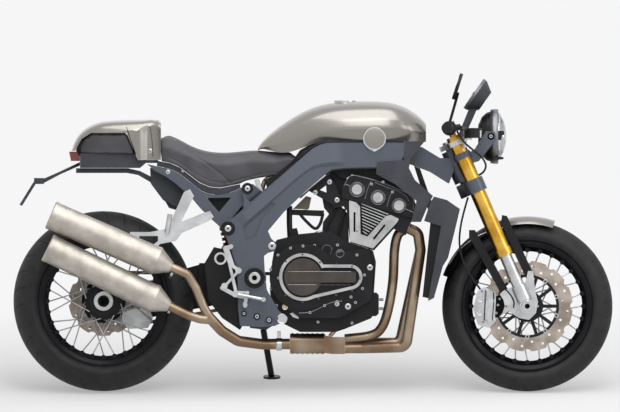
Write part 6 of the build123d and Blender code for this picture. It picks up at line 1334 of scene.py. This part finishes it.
# %% [markdown]
# ### Seat cowl
# The cowl is a laid-up shell whose top runs level into the saddle. A new shell could be drawn,
# but the CAD shell has the right walls, so a copy of it is kept and its top is drawn down to
# the level line of the real one: heights above one row are scaled, column by column, so that
# the ridge meets that line.

# %% Level the cowl's top
LEVEL_LINE = [
    (70, 152), (74, 143), (80, 134), (88, 127), (98, 122.6), (112, 120.6), (130, 119.8), (146, 119.6),
    (164, 119.8),
]
STILL_ROW, HIGHEST_RIDGE_ROW, SKY_ROW = 131.0, 130.0, 95.0
COWL_REAR, COWL_FRONT, BLEND_START, BLEND_LENGTH = 70.0, 159.0, 100, 12
LEAST_SHARE, MOST_SHARE = 0.5, 1.2
COWL_PAN = ([(76, 151), (77, 143), (82, 136), (90, 131.5), (124, 131.5), (128, 136), (135, 153),
             (134, 156), (79, 156)], -50, 50, 2)

shell = bpy.data.objects.new("seat_cowl_shell", nodes["seat_cowl"].data.copy())
bpy.context.scene.collection.objects.link(shell)
columns, rows, outs = side_view(vertices_of(shell.data))
stations = np.arange(COWL_REAR, COWL_FRONT, 1.0)
ridge = []
for station in stations:
    hit = trees["chassis"].ray_cast(Vector(park([spot(station, SKY_ROW)])[0]), Vector(-UP))
    ridge.append(side_view(np.array([hit[0]]))[1][0] if hit[0] else STILL_ROW)
ridge = np.interp(columns, stations, np.minimum(ridge, HIGHEST_RIDGE_ROW))
level = np.interp(columns, *np.transpose(LEVEL_LINE))
share = np.where(columns > BLEND_START, (STILL_ROW - level) / (STILL_ROW - ridge), 1.0)
blend_in = np.clip((columns - BLEND_START) / BLEND_LENGTH, 0, 1)
share = np.clip(1 + (share - 1) * blend_in, LEAST_SHARE, MOST_SHARE)
lifted = np.where(rows < STILL_ROW, STILL_ROW - (STILL_ROW - rows) * share, rows)
move_to(shell.data, vertices_of(shell.data) + (rows - lifted)[:, None] * PIXEL * UP)
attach(shell, "chassis")
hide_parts("seat_cowl")
rigid("cowl_pan", [plate(*COWL_PAN)], bracket_black)
print("cowl ridge was at row", round(float(np.min(ridge)), 1))

# %% [markdown]
# ### Shields and rubber strips
# Behind the frame sit dark shields and hoses that close the view through the machine, and a
# black rubber strip seals the tank to the frame. Only their outlines show between the bright
# parts, so each shield is a plate and each strip a tube along the spar's edge.

# %% Dark shields and frame rubbers
SHIELDS = [
    ([(264, 180), (282, 171.5), (297, 158), (302, 153), (288, 176), (268, 190)], -95, 100, 2),
    ([(332, 169), (378, 168), (398, 178), (413, 194), (406, 193), (380, 181), (352, 174.5), (344, 180),
      (338, 177)], -80, 84, 2),
    ([(214, 247), (236, 252), (246, 262), (246, 320), (240, 330), (222, 318), (208, 300), (204, 264)],
     -60, 104, 2),
    ([(206, 196), (246, 190), (252, 204), (248, 218), (234, 226), (222, 222)], -60, 60, 2),
    ([(293, 160), (300, 150), (312, 143.5), (326, 139.5), (342, 141), (342, 152), (318, 155), (302, 163)],
     -90, 96, 2),
    ([(324, 172), (338, 167), (348, 180), (343, 202), (333, 190)], -60, 60, 2),
]
STRIPS = [
    [(298, 158.5), (306, 151.5), (314, 145.8), (322, 142.6), (336, 141.6), (364, 141.4)],
    [(386, 141.4), (395, 141.3), (404, 141.2)],
    [(331, 170.5), (345, 168.8), (370, 168.2), (388, 167.8), (397, 165), (403, 159), (406.5, 151),
     (407.5, 143)],
    [(300, 198), (309, 190), (320, 181), (330, 173)],
]
STRIP_OUT, STRIP_RADIUS = 145.5, 3.2

rigid("dark_shields", [plate(*shield) for shield in SHIELDS], engine_black)
strips = [pipe(at_out(line, STRIP_OUT), 6 * len(line), STRIP_RADIUS, 10) for line in STRIPS]
rigid("frame_rubbers", strips, grip_rubber)
print("shields", len(SHIELDS), "strips", len(strips))

# %% [markdown]
# ### Tank disc and inner header
# A plain disc stands on the tank side where a badge would be: a bright rim and a painted face.
# A third exhaust header runs behind the two outer ones, and only its tube is seen.

# %% Plain tank disc and the inner header
TANK_DISC = (374.5, 138.6, 148.5, 41.0)
INNER_HEADER = ([(405, 229, 56), (398, 235, 54), (394.5, 250, 52), (393, 280, 52), (388.5, 308, 52),
                 (382, 327, 50), (371, 335.5, 46), (345, 339, 42)], 60, 17, 24)

rigid("tank_disc", [heads([TANK_DISC], DISC_RIM, 56)], zinc)
rigid("tank_disc_face", [heads([TANK_DISC], DISC_FACE, 48)], tank_paint)
rigid("inner_header", [pipe(*INNER_HEADER)], header_steel)
print("tank disc radius", TANK_DISC[3], "mm")

# %% [markdown]
# ### Last bolts and clamps
# The frame's foot has three bolts on dark washers. On the left side the generator cover and
# the frame have theirs, and clamps close the links to the silencers.

# %% Foot bolts, left side bolts and link clamps
FOOT_WASHERS = [(244, 313.5, 2.9), (257, 316.5, 3.4), (269, 320, 3.4)]
FOOT_BOLTS = [(244, 313.5, 1.4), (257, 316.5, 2.0), (269, 320, 2.0)]
GENERATOR = (338, 282)
GENERATOR_BOLT_RADIUS = 1.2
OUTER_BOLTS = circle(*GENERATOR, 23.2, 8, 20)
STEP_BOLTS = circle(*GENERATOR, 17, 5, 50)
LEFT_BOLTS = [(247.5, 188.5, 1.9), (228, 228.5, 2.2), (272, 246, 2.2), (257, 316.5, 2.0)]
LINK_CLAMPS = [(172.5, 272.5, 150, 12, -6, 21.5, 9), (170.5, 308, 150, 12, -5, 21.5, 9)]

fasteners("foot_washers", FOOT_WASHERS, FLAT_DISC, bracket_black)
fasteners("foot_bolts", FOOT_BOLTS, WASHERED, zinc)
fasteners("generator_bolts", sized(OUTER_BOLTS + STEP_BOLTS, GENERATOR_BOLT_RADIUS), SOCKET, zinc, side=-1)
fasteners("left_frame_bolts", LEFT_BOLTS, WASHERED, zinc, side=-1)
rigid("link_clamps", [sleeve(*clamp) for clamp in LINK_CLAMPS], zinc)
print("left side bolts", len(OUTER_BOLTS) + len(STEP_BOLTS) + len(LEFT_BOLTS))

# %% [markdown]
# ### Mirror glasses
# Each mirror's back is a black shell, and its glass is a silvered disc a little smaller, with a
# ground edge. It faces the rider, so it is a turned disc on the shell's rear face.

# %% Mirror glasses
MIRROR_COLUMN, MIRROR_ROW, MIRROR_OUT = 457.5, 86.5, 0.262
MIRROR_TILT, MIRROR_HALF = math.radians(18), 0.006
GLASS = [(-1, 44), (0.5, 44), (0.9, 43)]

backward = np.array([-math.cos(MIRROR_TILT), 0.0, math.sin(MIRROR_TILT)])
middles = [spot(MIRROR_COLUMN, MIRROR_ROW, side * MIRROR_OUT) for side in (1, -1)]
glasses = [lathe(GLASS, middle + backward * MIRROR_HALF, backward, 56) for middle in middles]
rigid("mirror_glasses", glasses, mirror_glass, STEERING)
print("mirror glasses", len(glasses))

# %% [markdown]
# ### Frame shoulders
# The cast spars have a shoulder: a band along the upper edge that leans back and catches the
# light from above. The spar could be remodelled, but a low ridge laid on its flat side, 6 mm
# high, catches the light in the same way.

# %% Shoulder ridges on both spars
SPAR_FACE_OUT = 146.0
UPPER_EDGE = [
    (236, 219.5), (252, 204), (272, 185.8), (292, 167), (305, 155), (315, 147.6), (325, 143.6), (342, 142.6),
]
LOWER_EDGE = [
    (243, 227), (262, 211), (282, 193.5), (302, 176.5), (314, 169), (326, 167), (336, 166.4), (346, 166.4),
]
SHOULDER_SHARES = np.array([0.0, 0.0, 0.82, 1.0, 1.0])
SHOULDER_HEIGHTS = np.array([-2.0, 0.8, 6.2, 0.3, -2.0])
RUN_OUT_STATIONS, RUN_OUT_LEAST = 4, 0.02


def spread_out(line, count):
    """A line of the side view as `count` places, evenly spaced along a smooth curve."""
    dense = curve(at_out(line, 0), 200)
    where, steps = even_steps(dense, count)
    return np.stack([np.interp(where, steps, dense[:, k]) for k in range(3)], -1)


def shoulder(side, count=60):
    """A ridge between two edges. Across it run five points: at the shares of the width they have
    the heights above the spar in millimetres, and towards both ends the heights run out."""
    upper, lower = spread_out(UPPER_EDGE, count), spread_out(LOWER_EDGE, count)
    end_distance = np.minimum(np.arange(count), np.arange(count)[::-1])
    run_out = np.clip(end_distance / RUN_OUT_STATIONS, RUN_OUT_LEAST, 1)[:, None]
    points = upper[:, None] + SHOULDER_SHARES[None, :, None] * (lower - upper)[:, None]
    raised = SPAR_FACE_OUT + np.where(SHOULDER_HEIGHTS > 0, SHOULDER_HEIGHTS * run_out, SHOULDER_HEIGHTS)
    points[..., 1] = -side * raised / 1000
    faces = capped_grid(count, len(SHOULDER_SHARES))
    return points.reshape(-1, 3), faces if side < 0 else [face[::-1] for face in faces]


rigid("spar_shoulders", [shoulder(1), shoulder(-1)], frame_paint, angle=5)
print("shoulder height", SHOULDER_HEIGHTS.max(), "mm")

# %% [markdown]
# ### Sockets
# Every socket head was noted as it was made, and gets its dark recess here: a small disc at the
# floor of the socket, because the head's own profile closes it with metal.

# %% Dark recesses of the socket heads
for body, rows in sockets.items():
    rigid("socket_recesses_" + body, [heads(rows, SOCKET_FLOOR, 8)], hole_black, body)
print("sockets", {body: len(rows) for body, rows in sockets.items()})

# %% [markdown]
# ## The studio
# The photograph has a near white background with a soft shadow under the wheels. A white room
# would light the machine from all sides and flatten it, so the floor and the sky are dull for
# light, and plain white only for what the camera, reflections and glass see.

# %% Floor
WHITE = "#f6f6f7"
FLOOR_REACH = 14.0
FADE_START, FADE_END, NEAR_GLOW_SHARE, LENGTH_SHARE = 0.3, 1.5, 0.4, 0.35


def seen_plainly(tree):
    """One for rays from the camera, in reflections and through glass, and zero for the light."""
    path = node(tree, "ShaderNodeLightPath")
    most = {"operation": "MAXIMUM"}
    camera_ray, glass_ray = path.outputs["Is Camera Ray"], path.outputs["Is Transmission Ray"]
    seen = node(tree, "ShaderNodeMath", most, i0=camera_ray, i1=glass_ray)
    clear = node(tree, "ShaderNodeMath", most, i0=seen.outputs["Value"], i1=path.outputs["Is Glossy Ray"])
    return clear.outputs["Value"]


def backdrop_material(name):
    """A dull pale floor near the machine, which fades to plain white where it is seen plainly.
    The fade follows the distance sqrt((0.35 x)^2 + y^2)."""
    material, tree, shader = finish(name, WHITE, 0.0, 0.9, Specular_IOR_Level=0.1)
    flat = node(tree, "ShaderNodeMapping", Vector=place_of(tree), Scale=(LENGTH_SHARE, 1.0, 0.0))
    reach = node(tree, "ShaderNodeVectorMath", {"operation": "LENGTH"}, i0=flat.outputs["Vector"])
    fade = node(tree, "ShaderNodeMapRange", Value=reach.outputs["Value"], From_Min=FADE_START,
                From_Max=FADE_END, To_Min=NEAR_GLOW_SHARE)
    share = node(tree, "ShaderNodeMath", {"operation": "MULTIPLY"}, i0=seen_plainly(tree),
                 i1=fade.outputs["Result"])
    glow = node(tree, "ShaderNodeEmission", Color=linear(WHITE), Strength=1.0)
    blend = node(tree, "ShaderNodeMixShader", i0=share.outputs["Value"], i1=shader.outputs["BSDF"],
                 i2=glow.outputs["Emission"])
    tree.links.new(blend.outputs["Shader"], tree.nodes["Material Output"].inputs["Surface"])
    return material


floor_mesh = bpy.data.meshes.new("studio_floor")
corners = [(x * FLOOR_REACH, y * FLOOR_REACH, 0) for x, y in ((-1, -1), (1, -1), (1, 1), (-1, 1))]
floor_mesh.from_pydata(corners, [], [(0, 1, 2, 3)])
floor = bpy.data.objects.new("studio_floor", floor_mesh)
floor_mesh.materials.append(backdrop_material("pale_studio_floor"))
bpy.context.scene.collection.objects.link(floor)
print("floor", 2 * FLOOR_REACH, "m across")

# %% Sky
SKY_LIGHT = 0.3

world = bpy.data.worlds.new("studio")
bpy.context.scene.world = world
world.use_nodes = True
sky = world.node_tree
sky.nodes["Background"].inputs["Color"].default_value = linear(WHITE)
level = node(sky, "ShaderNodeMapRange", Value=seen_plainly(sky), To_Min=SKY_LIGHT, To_Max=1.0)
sky.links.new(level.outputs["Result"], sky.nodes["Background"].inputs["Strength"])
print("sky light", SKY_LIGHT)

# %% [markdown]
# ### Lamps and camera
# Three soft boxes stand where a studio's would: overhead, at the near side and in front. One
# lamp would leave the engine black. The camera looks square on at the right hand side without
# perspective, tipped by the lean, so that the machine reads upright as in the photograph.

# %% Lamps
# Name: place, aim, size in metres and power in watts.
LAMPS = {
    "overhead_softbox": ((0.2, -0.6, 3.6), (0, -0.1, 0.5), 3.0, 70),
    "side_softbox": ((0.3, -3.0, 3.3), (0, 0, 0.5), 2.4, 50),
    "front_softbox": ((3.2, -1.6, 1.6), (0.3, 0, 0.5), 1.6, 20),
}

def lamp(name, where, aim, size, power):
    """A square soft box of a size in metres, aimed at a point."""
    data = bpy.data.lights.new(name, "AREA")
    data.size, data.energy = size, power
    made = bpy.data.objects.new(name, data)
    made.location = where
    made.rotation_euler = (Vector(aim) - Vector(where)).to_track_quat("-Z", "Y").to_euler()
    bpy.context.scene.collection.objects.link(made)


for name, settings in LAMPS.items():
    lamp(name, *settings)
print("lamps", len(LAMPS))

# %% Camera
WIDE, HIGH = 620, 412
CAMERA_OUT, FARTHEST = 6, 60

camera_data = bpy.data.cameras.new("side_camera")
camera_data.type = "ORTHO"
camera_data.sensor_fit = "HORIZONTAL"
camera_data.ortho_scale = WIDE * PIXEL
camera = bpy.data.objects.new("side_camera", camera_data)
middle = park([spot(WIDE / 2, HIGH / 2)])[0]
columns_of_view = np.stack([AHEAD, UP, -LEFT, middle - LEFT * CAMERA_OUT], -1)
camera.matrix_world = Matrix(columns_of_view.tolist() + [[0, 0, 0, 1]])
camera_data.clip_end = FARTHEST
bpy.context.scene.collection.objects.link(camera)
bpy.context.scene.camera = camera
bpy.context.scene.view_settings.view_transform = "Standard"
print("view", round(WIDE * PIXEL, 3), "m wide")
